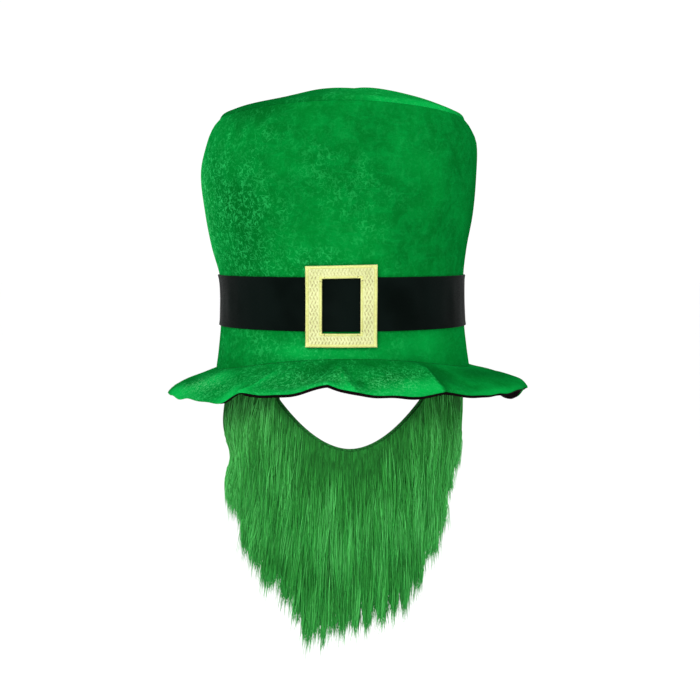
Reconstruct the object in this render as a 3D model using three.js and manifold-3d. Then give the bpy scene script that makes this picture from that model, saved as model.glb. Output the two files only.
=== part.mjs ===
// A plush costume top hat: a flared soft crown, a drooping wavy brim with a dark lining, a satin
// band with a padded buckle, and a long-pile false beard that hangs from inside the rim.
// Lengths are in millimetres. +Z is up and the front faces -Y. The origin is at the middle of the
// head opening, level with the rim at the two sides.
// A bearing is an angle in degrees round the vertical axis: 0 is the front, 90 is the +X side.

import * as THREE from "three";
import { mergeVertices } from "three/addons/utils/BufferGeometryUtils.js";
import Module from "manifold-3d";

// Crown
const crownWidth = 200; // outside, across the rim
const crownDepth = 204; // outside, front to back at the rim
const crownHeight = 194; // from the rim to the top seam, at the two sides
const crownWall = 3; // plush bonded to foam
const rimArchFront = 14; // how far the rim rises at the front, above its two sides
const rimArchBack = 8;
const rimTilt = 1.2; // how much higher the rim is on the +X side than in the middle
const topArch = 7; // how far the top seam rises at the front and back
const levelFrom = 0.15; // the shares of the height between which the crown is level all round
const levelTo = 0.45;
const tipRise = 16; // how far the puffed top panel stands above its seam
const tipSway = 12; // how far its highest point lies off the middle, towards +X
const tipWall = 2.6;

// Brim
const brimReach = 46; // from the seam to the edge, along the cloth
const brimWall = 1.9; // plush upper layer
const liningWall = 1.2; // dark cloth below it
const brimSeat = 1.5; // how much of the crown's wall stands on the brim's inner margin

// Band and buckle
const bandWidth = 39.5;
const bandBottom = 34; // the band's lower edge, above the rim
const bandWall = 1;
const buckleWidth = 53;
const buckleHeight = 61;
const buckleWall = 2.6;
const buckleDrop = 1.1; // how far its middle lies below the band's
const buckleSideBar = 12.7; // the width of the upright bars
const buckleCrossBar = 10.5; // the height of the top and bottom bars

// Beard
const beardDrop = 203; // from the rim to the longest tips
const strapRise = 28; // how far the beard's two straps run up inside the crown
const strapBearing = 65; // where the straps' rear edges hang
const mouthWidth = 112; // across the cut for the mouth, at its top
const mouthDepth = 53; // from the rim to the lowest point of that cut
const mouthTop = 17; // from the rim down to where the cut meets the straps
const mouthShift = 7; // the cut is this far off the middle, towards +X
const beardTuck = 9; // how far the lower edge draws in under the chin
const backingWall = 1.6;
const undercoat = 6; // the dense pile at the roots, below the locks
const undercoatAtEdge = 1.6; // the same along the beard's cut upper edges
const pileLength = 54; // one lock, from root to tip
const pileOverhang = 42; // how far the lowest locks hang below the backing
const undercoatOverhang = 17; // how far the undercoat does
const lockThickness = 5;
const lockLift = 3.2; // how far a lock's middle stands off the undercoat

// Clearances
const gap = 0.4; // between cloth pieces that lie on each other
const strapGap = 0.8; // between a strap and the crown's inner wall
const furGap = 0.6; // between the fur and the backing that it grows from
const liningGap = 2; // between the lining at the rim and the top of the fur

// How finely round shapes are divided
const crownSteps = 36;
const brimSteps = 60;
const barCells = 2; // across each bar of the buckle
const windowCells = 4; // and across its window
const beardStep = 5; // degrees

// The crown from the rim up. up is a share of crownHeight, width and sway are shares of crownWidth,
// and depth is a share of crownDepth.
const crownSections = [
  { up: 0.0, width: 1.012, depth: 1.0, sway: 0.003 },
  { up: 0.08, width: 0.99, depth: 0.985, sway: 0.003 },
  { up: 0.2, width: 0.968, depth: 0.972, sway: 0.002 },
  { up: 0.36, width: 0.968, depth: 0.97, sway: -0.002 },
  { up: 0.49, width: 1.014, depth: 1.005, sway: -0.012 },
  { up: 0.63, width: 1.062, depth: 1.05, sway: -0.012 },
  { up: 0.79, width: 1.09, depth: 1.078, sway: -0.013 },
  { up: 0.91, width: 1.06, depth: 1.055, sway: -0.003 },
  { up: 0.97, width: 1.012, depth: 1.02, sway: 0.0 },
  { up: 1.0, width: 0.965, depth: 0.985, sway: 0.001 },
];

// The top panel from its seam inwards. in is a share of the way to the middle, rise of tipRise.
const tipSections = [
  { in: 0.0, rise: 0.0 },
  { in: 0.03, rise: 0.08 },
  { in: 0.12, rise: 0.29 },
  { in: 0.3, rise: 0.6 },
  { in: 0.6, rise: 0.9 },
  { in: 1.0, rise: 1.0 },
];

// How the brim hangs, round the hat. out and drop are shares of brimReach. A flare above 1 falls
// steeply at the seam and flattens at the edge, one below 1 is level first and droops at the edge.
const brimHang = [
  { bearing: -180, out: 0.86, drop: 0.42, flare: 0.9 },
  { bearing: -130, out: 0.86, drop: 0.42, flare: 0.85 },
  { bearing: -90, out: 0.84, drop: 0.41, flare: 0.7 },
  { bearing: -65, out: 0.83, drop: 0.41, flare: 0.8 },
  { bearing: -46, out: 0.82, drop: 0.46, flare: 1.0 },
  { bearing: -25, out: 0.8, drop: 0.46, flare: 1.3 },
  { bearing: 0, out: 0.8, drop: 0.47, flare: 1.3 },
  { bearing: 20, out: 0.8, drop: 0.47, flare: 1.3 },
  { bearing: 40, out: 0.84, drop: 0.41, flare: 1.1 },
  { bearing: 58, out: 0.92, drop: 0.36, flare: 0.8 },
  { bearing: 75, out: 1.0, drop: 0.3, flare: 0.6 },
  { bearing: 90, out: 1.04, drop: 0.35, flare: 0.5 },
  { bearing: 104, out: 0.98, drop: 0.55, flare: 0.6 },
  { bearing: 135, out: 0.88, drop: 0.44, flare: 0.85 },
];

// Folds across the brim. lift is a share of brimReach at the edge, spread is in degrees, and a
// fold with a high root stays near the edge.
const brimFolds = [
  { bearing: -4, spread: 8, lift: 0.165, root: 1.6 },
  { bearing: 34, spread: 5, lift: 0.05, root: 1.0 },
  { bearing: 42, spread: 5, lift: -0.04, root: 1.0 },
  { bearing: -29, spread: 5, lift: 0.07, root: 1.2 },
  { bearing: -38, spread: 5, lift: -0.07, root: 1.0 },
  { bearing: -78, spread: 12, lift: 0.03, root: 2.0 },
  { bearing: 146, spread: 13, lift: 0.13, root: 1.4 },
  { bearing: -168, spread: 15, lift: -0.08, root: 1.2 },
  { bearing: -136, spread: 14, lift: 0.12, root: 1.4 },
  { bearing: -110, spread: 11, lift: -0.05, root: 1.4 },
];

// Where the rows of the brim's cloth lie, from the edge in to the seam, as shares of its reach.
const brimRows = [1, 0.78, 0.5, 0.2];

// The line of the beard's longest tips, round the face. tips is a share of beardDrop.
const beardOutline = [
  { bearing: -65, tips: 0.49 },
  { bearing: -57, tips: 0.61 },
  { bearing: -50, tips: 0.7 },
  { bearing: -40, tips: 0.78 },
  { bearing: -27, tips: 0.86 },
  { bearing: -16, tips: 0.98 },
  { bearing: -8, tips: 1.0 },
  { bearing: 1, tips: 0.96 },
  { bearing: 10, tips: 0.96 },
  { bearing: 25, tips: 0.93 },
  { bearing: 34, tips: 0.84 },
  { bearing: 46, tips: 0.7 },
  { bearing: 53, tips: 0.55 },
  { bearing: 60, tips: 0.42 },
  { bearing: 65, tips: 0.35 },
];

// The tiers of locks. down is a share of the way from the fur's upper edge to the backing's hem,
// width is in millimetres, and reach is the most of the way to the longest tips that a lock hangs.
const lockTiers = [
  { down: 0.0, width: 22, reach: 1.0 },
  { down: 0.36, width: 21, reach: 1.0 },
  { down: 0.7, width: 19, reach: 0.95 },
  { down: 1.0, width: 12, reach: 1.0 },
];

const green = new THREE.Color(0x06913a);
const plush = new THREE.MeshStandardMaterial({ color: green, roughness: 0.95, metalness: 0 });
const satin = new THREE.MeshStandardMaterial({ color: 0x0a1410, roughness: 0.45, metalness: 0 });
const darkCloth = new THREE.MeshStandardMaterial({ color: 0x0c0c0e, roughness: 0.9, metalness: 0 });
const goldThread = new THREE.MeshStandardMaterial({ color: 0xe8e69a, roughness: 0.4, metalness: 0.3 });
const knitBack = new THREE.MeshStandardMaterial({ color: 0x1c6a2c, roughness: 0.95, metalness: 0 });
const pile = new THREE.MeshStandardMaterial({ color: 0x30953c, roughness: 0.7, metalness: 0 });

const { sin, cos, min, max, abs, PI } = Math;
const { degToRad, radToDeg, lerp, clamp, smoothstep, euclideanModulo } = THREE.MathUtils;

// The numbers from 0 to count - 1.
const upTo = (count) => [...Array(count).keys()];

// One column of a table at a place between its rows, on a smooth curve through them.
function readTable(rows, key, place, column) {
  const last = rows.length - 1;
  let low = 0;
  while (low < last - 1 && rows[low + 1][key] < place) low += 1;
  const [a, b] = [rows[low], rows[low + 1]];
  const slope = (p, q) => (q[column] - p[column]) / (q[key] - p[key]);
  const slopeIn = low > 0 ? slope(rows[low - 1], b) : slope(a, b);
  const slopeOut = low < last - 1 ? slope(a, rows[low + 2]) : slope(a, b);
  const span = b[key] - a[key];
  const t = clamp((place - a[key]) / span, 0, 1);
  const rest = 1 - t;
  return (
    a[column] * (1 + 2 * t) * rest * rest +
    slopeIn * span * t * rest * rest +
    b[column] * t * t * (3 - 2 * t) -
    slopeOut * span * t * t * rest
  );
}

// A table of bearings repeated a turn before and after, so that it reads smoothly all round.
function allRound(rows) {
  return [-360, 0, 360].flatMap((turn) => rows.map((row) => ({ ...row, bearing: row.bearing + turn })));
}
const brimHangAllRound = allRound(brimHang);

// How high the rim stands at a bearing, from the level of its two sides.
function rimHeight(bearing) {
  const facing = cos(degToRad(bearing));
  return (facing > 0 ? rimArchFront : rimArchBack) * facing ** 2 + rimTilt * sin(degToRad(bearing));
}

// The height of the crown up a share of the way: level round the band, arched at the rim and top.
function crownLevel(bearing, up) {
  const arched = topArch * cos(degToRad(bearing)) ** 2;
  const nearRim = max(0, 1 - up / levelFrom);
  const nearTop = max(0, (up - levelTo) / (1 - levelTo));
  return crownHeight * up + rimHeight(bearing) * nearRim + arched * nearTop;
}

// A point of the crown's outside, up a share of the way to the top seam, moved outwards.
function crownPoint(bearing, up, outwards = 0) {
  const angle = degToRad(bearing);
  const halfWidth = (crownWidth * readTable(crownSections, "up", up, "width")) / 2;
  const halfDepth = (crownDepth * readTable(crownSections, "up", up, "depth")) / 2;
  return new THREE.Vector3(
    crownWidth * readTable(crownSections, "up", up, "sway") + (halfWidth + outwards) * sin(angle),
    -(halfDepth + outwards) * cos(angle),
    crownLevel(bearing, up),
  );
}

// The same for a height in millimetres instead of a share, for the level part and below it.
function crownPointAt(bearing, height, outwards = 0) {
  const rim = rimHeight(bearing);
  const level = crownHeight * levelFrom;
  const up = height < level ? (levelFrom * (height - rim)) / (level - rim) : height / crownHeight;
  return crownPoint(bearing, clamp(up, 0, 1), outwards).setZ(height);
}

// A closed solid between two grids of points, each a list of rows. The face is seen with its
// columns running right and its rows running up. A ring's columns join up, and a cell that isn't
// kept is left open.
function solidBetween(face, back, { ring = false, kept = () => true } = {}) {
  const rows = face.length - 1;
  const columns = ring ? face[0].length : face[0].length - 1;
  const next = (c) => (c + 1) % face[0].length;
  const corners = [];
  const triangle = (...points) => {
    const [p, q, r] = points;
    if (!p.equals(q) && !q.equals(r) && !r.equals(p)) corners.push(...points);
  };
  const quad = (p, q, r, s) => {
    triangle(p, q, r);
    triangle(p, r, s);
  };
  const isKept = (r, c) => {
    if (r < 0 || r >= rows || (!ring && (c < 0 || c >= columns))) return false;
    return kept(r, euclideanModulo(c, columns));
  };
  for (const r of upTo(rows)) {
    for (const c of upTo(columns)) {
      if (!isKept(r, c)) continue;
      const n = next(c);
      quad(face[r][c], face[r][n], face[r + 1][n], face[r + 1][c]);
      quad(back[r][c], back[r + 1][c], back[r + 1][n], back[r][n]);
      if (!isKept(r - 1, c)) quad(back[r][c], back[r][n], face[r][n], face[r][c]);
      if (!isKept(r + 1, c)) quad(face[r + 1][c], face[r + 1][n], back[r + 1][n], back[r + 1][c]);
      if (!isKept(r, c - 1)) quad(face[r][c], face[r + 1][c], back[r + 1][c], back[r][c]);
      if (!isKept(r, c + 1)) quad(face[r + 1][n], face[r][n], back[r][n], back[r + 1][n]);
    }
  }
  return new THREE.BufferGeometry().setFromPoints(corners);
}

// A grid of points for every row and bearing.
function gridOf(rows, bearings, pointAt) {
  return rows.map((row) => bearings.map((bearing) => pointAt(bearing, row)));
}

// A ring grid moved along its own normals by a distance, down into the cloth.
function thickened(grid, distance) {
  const count = grid[0].length;
  return grid.map((row, r) =>
    row.map((point, c) => {
      const along = row[(c + 1) % count].clone().sub(row[(c + count - 1) % count]);
      const across = grid[min(r + 1, grid.length - 1)][c].clone().sub(grid[max(r - 1, 0)][c]);
      return point.clone().addScaledVector(along.cross(across).normalize(), -distance);
    }),
  );
}

const bearingsRound = (steps) => upTo(steps).map((i) => (360 * i) / steps - 180);

// The crown's rows that the band lies on, as shares of its height.
const bandRows = upTo(4).map((i) => (bandBottom + (bandWidth * i) / 3) / crownHeight);

function crownGeometry() {
  const sections = [0, 0.08, ...bandRows, 0.49, 0.63, 0.79, 0.91, 0.97, 1];
  const bearings = bearingsRound(crownSteps);
  return solidBetween(
    gridOf(sections, bearings, (bearing, up) => crownPoint(bearing, up)),
    gridOf(sections, bearings, (bearing, up) => crownPoint(bearing, up, -crownWall)),
    { ring: true },
  );
}

// The top panel stands on the crown's upper edge.
function tipGeometry() {
  const bearings = bearingsRound(crownSteps);
  const panel = (lift) =>
    gridOf(tipSections, bearings, (bearing, { in: inwards, rise }) => {
      const edge = crownPoint(bearing, 1);
      const middle = new THREE.Vector3(tipSway, 0, crownHeight + topArch / 2);
      return edge.lerp(middle, inwards).add(new THREE.Vector3(0, 0, tipRise * rise + lift));
    });
  return solidBetween(panel(gap + tipWall), panel(gap), { ring: true });
}

// The brim's upper face, from its edge in to the margin that the crown stands on.
function brimGrid() {
  const edgeRows = brimRows.map((share) => ({ share, inset: 0 }));
  const marginRows = [
    { share: 0, inset: -gap },
    { share: 0, inset: brimSeat },
  ];
  return gridOf([...edgeRows, ...marginRows], bearingsRound(brimSteps), (bearing, { share, inset }) => {
    const out = readTable(brimHangAllRound, "bearing", bearing, "out") * share * brimReach;
    const flare = readTable(brimHangAllRound, "bearing", bearing, "flare");
    const drop = readTable(brimHangAllRound, "bearing", bearing, "drop") * (1 - (1 - share) ** flare);
    const lift = brimFolds.reduce((sum, fold) => {
      const away = (euclideanModulo(bearing - fold.bearing + 180, 360) - 180) / fold.spread;
      return sum + fold.lift * Math.exp(-away * away) * share ** fold.root;
    }, 0);
    return crownPoint(bearing, 0, out - inset).setZ(rimHeight(bearing) - gap + (lift - drop) * brimReach);
  });
}

function brimGeometry() {
  const top = brimGrid();
  return solidBetween(top, thickened(top, brimWall), { ring: true });
}

function liningGeometry() {
  const top = brimGrid();
  const face = thickened(top, brimWall + gap);
  return solidBetween(face, thickened(top, brimWall + gap + liningWall), { ring: true });
}

function bandGeometry() {
  const bearings = bearingsRound(crownSteps);
  const layer = (outwards) => gridOf(bandRows, bearings, (bearing, up) => crownPoint(bearing, up, outwards));
  return solidBetween(layer(gap + bandWall), layer(gap), { ring: true });
}

// The bearing at which the crown's outside is this far across, at a height.
function bearingAcross(across, height) {
  const up = height / crownHeight;
  const sway = crownWidth * readTable(crownSections, "up", up, "sway");
  const halfWidth = (crownWidth * readTable(crownSections, "up", up, "width")) / 2;
  return radToDeg(Math.asin((across - sway) / halfWidth));
}

// Places along a side of the buckle: over its two bars and over the window between them.
function buckleCells(whole, bar) {
  const window = whole - 2 * bar;
  const firstBar = upTo(barCells).map((i) => (bar * i) / barCells);
  const between = upTo(windowCells).map((i) => bar + (window * i) / windowCells);
  const lastBar = upTo(barCells + 1).map((i) => bar + window + (bar * i) / barCells);
  return [...firstBar, ...between, ...lastBar].map((place) => place - whole / 2);
}

// A frame with one window, bent round the front of the band.
function buckleGeometry() {
  const middle = bandBottom + bandWidth / 2 - buckleDrop;
  const heights = buckleCells(buckleHeight, buckleCrossBar).map((place) => place + middle);
  const acrosses = buckleCells(buckleWidth, buckleSideBar);
  const seat = gap + bandWall + gap;
  const layer = (outwards) =>
    gridOf(heights, acrosses, (across, height) => crownPointAt(bearingAcross(across, height), height, outwards));
  const inWindow = (cell) => cell >= barCells && cell < barCells + windowCells;
  return solidBetween(layer(seat + buckleWall), layer(seat), {
    kept: (row, column) => !(inWindow(row) && inWindow(column)),
  });
}

// A point at a height on the sheet that the beard's backing makes, moved outwards.
function beardPoint(bearing, height, outwards) {
  const below = max(0, rimHeight(bearing) - height);
  const tuck = beardTuck * (below / beardDrop) ** 1.5;
  return crownPointAt(bearing, height, outwards - crownWall - strapGap - tuck);
}

// The lines that bound the beard: the longest tips, the backing's hem and its upper edge, with the
// straps and the cut for the mouth.
function tipLine(bearing) {
  return -beardDrop * readTable(beardOutline, "bearing", bearing, "tips");
}
const hemLine = (bearing) => tipLine(bearing) + pileOverhang;
function backingTop(bearing) {
  const across = abs(crownPoint(bearing, 0).x - mouthShift) / (mouthWidth / 2);
  const cut = -mouthDepth + (mouthDepth - mouthTop) * across ** 1.9;
  const strapSlope = strapRise / 0.08; // steep: the straps' front edges are nearly upright
  return min(rimHeight(bearing) + strapRise, cut + strapSlope * max(0, across - 1));
}
function furTop(bearing) {
  const lining = rimHeight(bearing) - gap - brimWall - gap - liningWall;
  return min(backingTop(bearing) - gap, lining - liningGap);
}

const beardBearings = upTo((2 * strapBearing) / beardStep + 1).map((i) => i * beardStep - strapBearing);
const beardShares = upTo(5).map((i) => i / 4);

function backingGeometry() {
  const layer = (outwards) =>
    gridOf(beardShares, beardBearings, (bearing, share) =>
      beardPoint(bearing, lerp(hemLine(bearing), backingTop(bearing), share), outwards),
    );
  return solidBetween(layer(0), layer(-backingWall));
}

// How far the undercoat stands out from the backing at a height.
function undercoatDepth(bearing, height) {
  const below = furTop(bearing) - height;
  return lerp(undercoatAtEdge, undercoat, smoothstep(below, 0, 0.7 * pileLength));
}

function undercoatGeometry() {
  const layer = (depthAt) =>
    gridOf(beardShares, beardBearings, (bearing, share) => {
      const height = lerp(hemLine(bearing) - undercoatOverhang, furTop(bearing), share);
      return beardPoint(bearing, height, furGap + depthAt(bearing, height));
    });
  return solidBetween(layer(undercoatDepth), layer(() => 0));
}

// A lock of fur: a pointed leaf with a flat back and a ridge down its front, rooted in the
// undercoat.
function lockGeometry({ bearing, root, length, width, drift }) {
  const placeAt = (share, across, outwards) => {
    const height = root - length * share;
    const turned = bearing + radToDeg((across + drift * share * share) / (crownDepth / 2));
    const coat = undercoatDepth(bearing, height);
    const lifted = lockLift * sin(PI * min(share, 0.6));
    return beardPoint(turned, height, max(furGap, coat + lifted + outwards));
  };
  const sections = [0, 0.35, 0.75].map((share) => {
    const wide = (width / 2) * (0.5 + 1.3 * share - 1.55 * share ** 2);
    const deep = lockThickness * (0.6 + 0.5 * share - 0.8 * share ** 2);
    return [placeAt(share, -wide, -deep / 2), placeAt(share, 0, deep / 2), placeAt(share, wide, -deep / 2)];
  });
  const tip = placeAt(1, 0, 0);
  const corners = [...sections[0]];
  for (const side of upTo(3)) {
    const n = (side + 1) % 3;
    for (const s of upTo(2)) {
      corners.push(sections[s][side], sections[s + 1][side], sections[s + 1][n]);
      corners.push(sections[s][side], sections[s + 1][n], sections[s][n]);
    }
    corners.push(sections[2][side], tip, sections[2][n]);
  }
  return new THREE.BufferGeometry().setFromPoints(corners);
}

// The locks, in staggered tiers from the fur's upper edge down to its hem.
function lockPlaces() {
  const places = [];
  const wobble = (a, b) => sin(a * 2.4 + b * 5.1);
  for (const [tier, { down, width, reach }] of lockTiers.entries()) {
    const spacing = radToDeg((0.92 * width) / (crownDepth / 2));
    const perSide = Math.floor(strapBearing / spacing - 0.5);
    for (const i of upTo(2 * perSide + 1)) {
      const bearing = (i - perSide) * spacing + (tier % 2 ? 0.25 : -0.25) * spacing;
      const root = lerp(furTop(bearing) - 4, hemLine(bearing) + 6, down) + 2 * wobble(i, tier);
      const fullLength = root - tipLine(bearing) + 6 * wobble(i, 1);
      const length = min(pileLength * (1 + 0.08 * wobble(tier, i)), fullLength * reach);
      places.push({ bearing, root, length, width, drift: 3 * wobble(i, i + tier) });
    }
  }
  return places;
}

const wasm = await Module();
wasm.setup();

function asManifold(geometry) {
  const merged = mergeVertices(geometry, 1e-4);
  return new wasm.Manifold(
    new wasm.Mesh({
      numProp: 3,
      vertProperties: merged.attributes.position.array,
      triVerts: new Uint32Array(merged.index.array),
    }),
  );
}

function furGeometry() {
  const fused = lockPlaces()
    .map((place) => asManifold(lockGeometry(place)))
    .reduce((body, lock) => body.add(lock), asManifold(undercoatGeometry()));
  // The largest shell is the outer one: the others line small hollows closed in between locks.
  const [outer] = fused.decompose().sort((a, b) => b.volume() - a.volume());
  const { vertProperties, triVerts } = outer.getMesh();
  return new THREE.BufferGeometry()
    .setAttribute("position", new THREE.BufferAttribute(vertProperties, 3))
    .setIndex(new THREE.BufferAttribute(triVerts, 1));
}

function piece(name, geometry, material) {
  const mesh = new THREE.Mesh(geometry, material);
  mesh.name = name;
  return mesh;
}

const hat = new THREE.Group();
hat.add(piece("crown", crownGeometry(), plush));
hat.add(piece("crown_tip", tipGeometry(), plush));
hat.add(piece("brim", brimGeometry(), plush));
hat.add(piece("brim_lining", liningGeometry(), darkCloth));
hat.add(piece("hat_band", bandGeometry(), satin));
hat.add(piece("buckle", buckleGeometry(), goldThread));
hat.add(piece("beard_backing", backingGeometry(), knitBack));
hat.add(piece("beard_fur", furGeometry(), pile));

export default hat;
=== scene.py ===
# A plush costume top hat with a long false beard.
# Lengths are in metres. A bearing is in degrees round the vertical axis: 0 is the front, 90 is +X.

import math

import bpy
import numpy as np
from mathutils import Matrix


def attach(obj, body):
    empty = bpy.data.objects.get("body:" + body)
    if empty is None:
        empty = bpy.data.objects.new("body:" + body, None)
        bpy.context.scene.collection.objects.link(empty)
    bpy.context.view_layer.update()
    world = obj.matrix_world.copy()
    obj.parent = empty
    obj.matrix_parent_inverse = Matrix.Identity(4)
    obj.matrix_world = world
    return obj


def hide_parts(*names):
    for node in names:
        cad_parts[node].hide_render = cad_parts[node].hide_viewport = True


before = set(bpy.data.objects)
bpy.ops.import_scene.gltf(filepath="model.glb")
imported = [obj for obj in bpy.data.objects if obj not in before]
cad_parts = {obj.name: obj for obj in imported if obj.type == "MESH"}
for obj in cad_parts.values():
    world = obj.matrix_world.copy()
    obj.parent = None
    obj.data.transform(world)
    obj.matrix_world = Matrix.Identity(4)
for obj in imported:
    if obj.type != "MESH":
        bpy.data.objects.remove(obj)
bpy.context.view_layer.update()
print("frame loaded")

# The sizes that several pieces share, as in the part's own source.
hat = {
    "crownWidth": 0.200, "crownDepth": 0.204, "crownHeight": 0.194, "crownWall": 0.003,
    "rimArchFront": 0.014, "rimArchBack": 0.008, "rimTilt": 0.0012, "topArch": 0.007,
    "levelFrom": 0.15, "levelTo": 0.45, "gap": 0.0004,
    "bandBottom": 0.034, "bandWidth": 0.0395, "bandWall": 0.001,
    "brimReach": 0.046, "brimWall": 0.0019, "liningWall": 0.0012,
    "dentDepth": 0.0016,  # the soft unevenness of the stuffed wall
}

crownSections = [
    {"up": 0.0, "width": 1.012, "depth": 1.0, "sway": 0.003},
    {"up": 0.08, "width": 0.99, "depth": 0.985, "sway": 0.003},
    {"up": 0.2, "width": 0.968, "depth": 0.972, "sway": 0.002},
    {"up": 0.36, "width": 0.968, "depth": 0.97, "sway": -0.002},
    {"up": 0.49, "width": 1.014, "depth": 1.005, "sway": -0.012},
    {"up": 0.63, "width": 1.062, "depth": 1.05, "sway": -0.012},
    {"up": 0.79, "width": 1.09, "depth": 1.078, "sway": -0.013},
    {"up": 0.91, "width": 1.062, "depth": 1.055, "sway": 0.0},
    {"up": 0.97, "width": 1.012, "depth": 1.02, "sway": 0.0},
    {"up": 1.0, "width": 0.965, "depth": 0.985, "sway": 0.001},
]


def readTable(rows, key, places, column):
    # a smooth curve through one column of a table
    keys = np.array([row[key] for row in rows], float)
    values = np.array([row[column] for row in rows], float)
    slopes = np.empty(len(rows))
    slopes[1:-1] = (values[2:] - values[:-2]) / (keys[2:] - keys[:-2])
    slopes[0] = (values[1] - values[0]) / (keys[1] - keys[0])
    slopes[-1] = (values[-1] - values[-2]) / (keys[-1] - keys[-2])
    places = np.clip(places, keys[0], keys[-1])
    low = np.clip(np.searchsorted(keys, places, side="left") - 1, 0, len(rows) - 2)
    span = keys[low + 1] - keys[low]
    t = (places - keys[low]) / span
    rest = 1 - t
    return (values[low] * (1 + 2 * t) * rest**2 + slopes[low] * span * t * rest**2
            + values[low + 1] * t**2 * (3 - 2 * t) - slopes[low + 1] * span * t**2 * rest)


def smoothStep(places, start, end):
    t = np.clip((places - start) / (end - start), 0, 1)
    return t * t * (3 - 2 * t)


def roundTable(rows):
    # a table of bearings repeated a turn before and after, so that it reads smoothly all round
    return [{**row, "bearing": row["bearing"] + turn} for turn in (-360, 0, 360) for row in rows]


def angleBetween(bearing, other):
    return (bearing - other + 180) % 360 - 180


def rimHeight(bearing):
    facing = np.cos(np.radians(bearing))
    arch = np.where(facing > 0, hat["rimArchFront"], hat["rimArchBack"])
    return arch * facing**2 + hat["rimTilt"] * np.sin(np.radians(bearing))


def softDents(bearing, height):
    # broad waves in the stuffed wall, dying out towards the rim
    a = np.radians(bearing)
    z = height / 0.05
    wave = (np.sin(3 * a + 1.1 * z + 0.6) + 0.8 * np.sin(5 * a - 1.7 * z + 2.0)
            + 0.5 * np.sin(9 * a + 0.8 * z + 4.1) + 0.45 * np.sin(2 * a + 4.6 * z))
    return hat["dentDepth"] * 0.5 * wave * smoothStep(height, 0.02, 0.06) * (1 - 0.8 * np.sin(a) ** 8)


def softMarks(marks, bearing, height):
    # soft oval patches, each given by its place, its spread and how light or dark it is
    total = np.zeros(np.broadcast(bearing, height).shape)
    for mark in marks:
        away = (angleBetween(bearing, mark["bearing"]) / mark["wide"]) ** 2
        total += mark["tone"] * np.exp(-away - ((height - mark["at"]) / mark["tall"]) ** 2)
    return np.clip(total, -1, 1)


def crownPoint(bearing, up, outwards=0.0):
    bearing, up, outwards = np.broadcast_arrays(bearing, up, outwards)
    angle = np.radians(bearing)
    halfWidth = hat["crownWidth"] * readTable(crownSections, "up", up, "width") / 2
    halfDepth = hat["crownDepth"] * readTable(crownSections, "up", up, "depth") / 2
    arched = hat["topArch"] * np.cos(angle) ** 2
    nearRim = np.maximum(0, 1 - up / hat["levelFrom"])
    nearTop = np.maximum(0, (up - hat["levelTo"]) / (1 - hat["levelTo"]))
    z = hat["crownHeight"] * up + rimHeight(bearing) * nearRim + arched * nearTop
    out = outwards + softDents(bearing, z)
    x = hat["crownWidth"] * readTable(crownSections, "up", up, "sway") + (halfWidth + out) * np.sin(angle)
    return np.stack([x, -(halfDepth + out) * np.cos(angle), z], axis=-1)


def crownPointAt(bearing, height, outwards=0.0):
    rim = rimHeight(bearing)
    level = hat["crownHeight"] * hat["levelFrom"]
    low = hat["levelFrom"] * (height - rim) / (level - rim)
    up = np.where(height < level, low, height / hat["crownHeight"])
    point = crownPoint(bearing, np.clip(up, 0, 1), outwards)
    point[..., 2] = height
    return point


# Modelling helpers

def deselectAll():
    if bpy.context.mode != "OBJECT":
        bpy.ops.object.mode_set(mode="OBJECT")
    bpy.ops.object.select_all(action="DESELECT")


def selectOnly(piece):
    deselectAll()
    bpy.context.view_layer.objects.active = piece
    piece.select_set(True)


def editAll(piece):
    bpy.context.view_layer.objects.active = piece
    piece.select_set(True)
    bpy.ops.object.mode_set(mode="EDIT")
    bpy.ops.mesh.select_all(action="SELECT")


def applyModifier(piece, kind, **settings):
    bpy.context.view_layer.objects.active = piece
    modifier = piece.modifiers.new(kind.lower(), kind)
    for name, value in settings.items():
        setattr(modifier, name, value)
    bpy.ops.object.modifier_apply(modifier=modifier.name)


def drawnTube(name, columns, rows):
    # a circle drawn up row by row: each point's height is its share of the way
    deselectAll()
    bpy.ops.mesh.primitive_circle_add(vertices=columns, radius=1, location=(0, 0, float(rows[0])))
    piece = bpy.context.object
    piece.name = name
    bpy.ops.object.transform_apply(location=True, rotation=True, scale=True)
    editAll(piece)
    for step in np.diff(rows):
        bpy.ops.mesh.extrude_region_move(TRANSFORM_OT_translate={"value": (0, 0, float(step))})
    bpy.ops.object.mode_set(mode="OBJECT")
    return piece


def meshPoints(piece):
    points = np.empty(len(piece.data.vertices) * 3, np.float32)
    piece.data.vertices.foreach_get("co", points)
    return points.reshape(-1, 3).astype(float)


def setMeshPoints(piece, points):
    piece.data.vertices.foreach_set("co", np.asarray(points, np.float32).ravel())
    piece.data.update()


def faceOutwards(piece, inside=False):
    editAll(piece)
    bpy.ops.mesh.normals_make_consistent(inside=inside)
    bpy.ops.object.mode_set(mode="OBJECT")


def giveThickness(piece, wall, edge, backSlot=0):
    # cloth with a soft folded edge: the wall goes to the back of the face
    applyModifier(piece, "SOLIDIFY", thickness=wall, offset=-1, use_even_offset=True, material_offset=backSlot)
    applyModifier(piece, "BEVEL", width=edge, segments=3, limit_method="ANGLE",
                  angle_limit=math.radians(60), material=0)


def finishPiece(piece, slot, *nodes):
    selectOnly(piece)
    bpy.ops.object.shade_smooth_by_angle(angle=math.radians(50))
    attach(piece, "root")
    if nodes:
        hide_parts(*nodes)


def bearingsOf(points):
    return np.degrees(np.arctan2(points[:, 0], -points[:, 1]))


def giveAttribute(piece, name, values):
    attribute = piece.data.attributes.new(name, "FLOAT", "POINT")
    attribute.data.foreach_set("value", np.asarray(values, np.float32))


# Materials

def newMaterial(name, **surface):
    material = bpy.data.materials.new(name)
    material.use_nodes = True
    shader = material.node_tree.nodes["Principled BSDF"]
    for socket, value in surface.items():
        shader.inputs[socket].default_value = value
    return material, material.node_tree, shader


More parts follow.
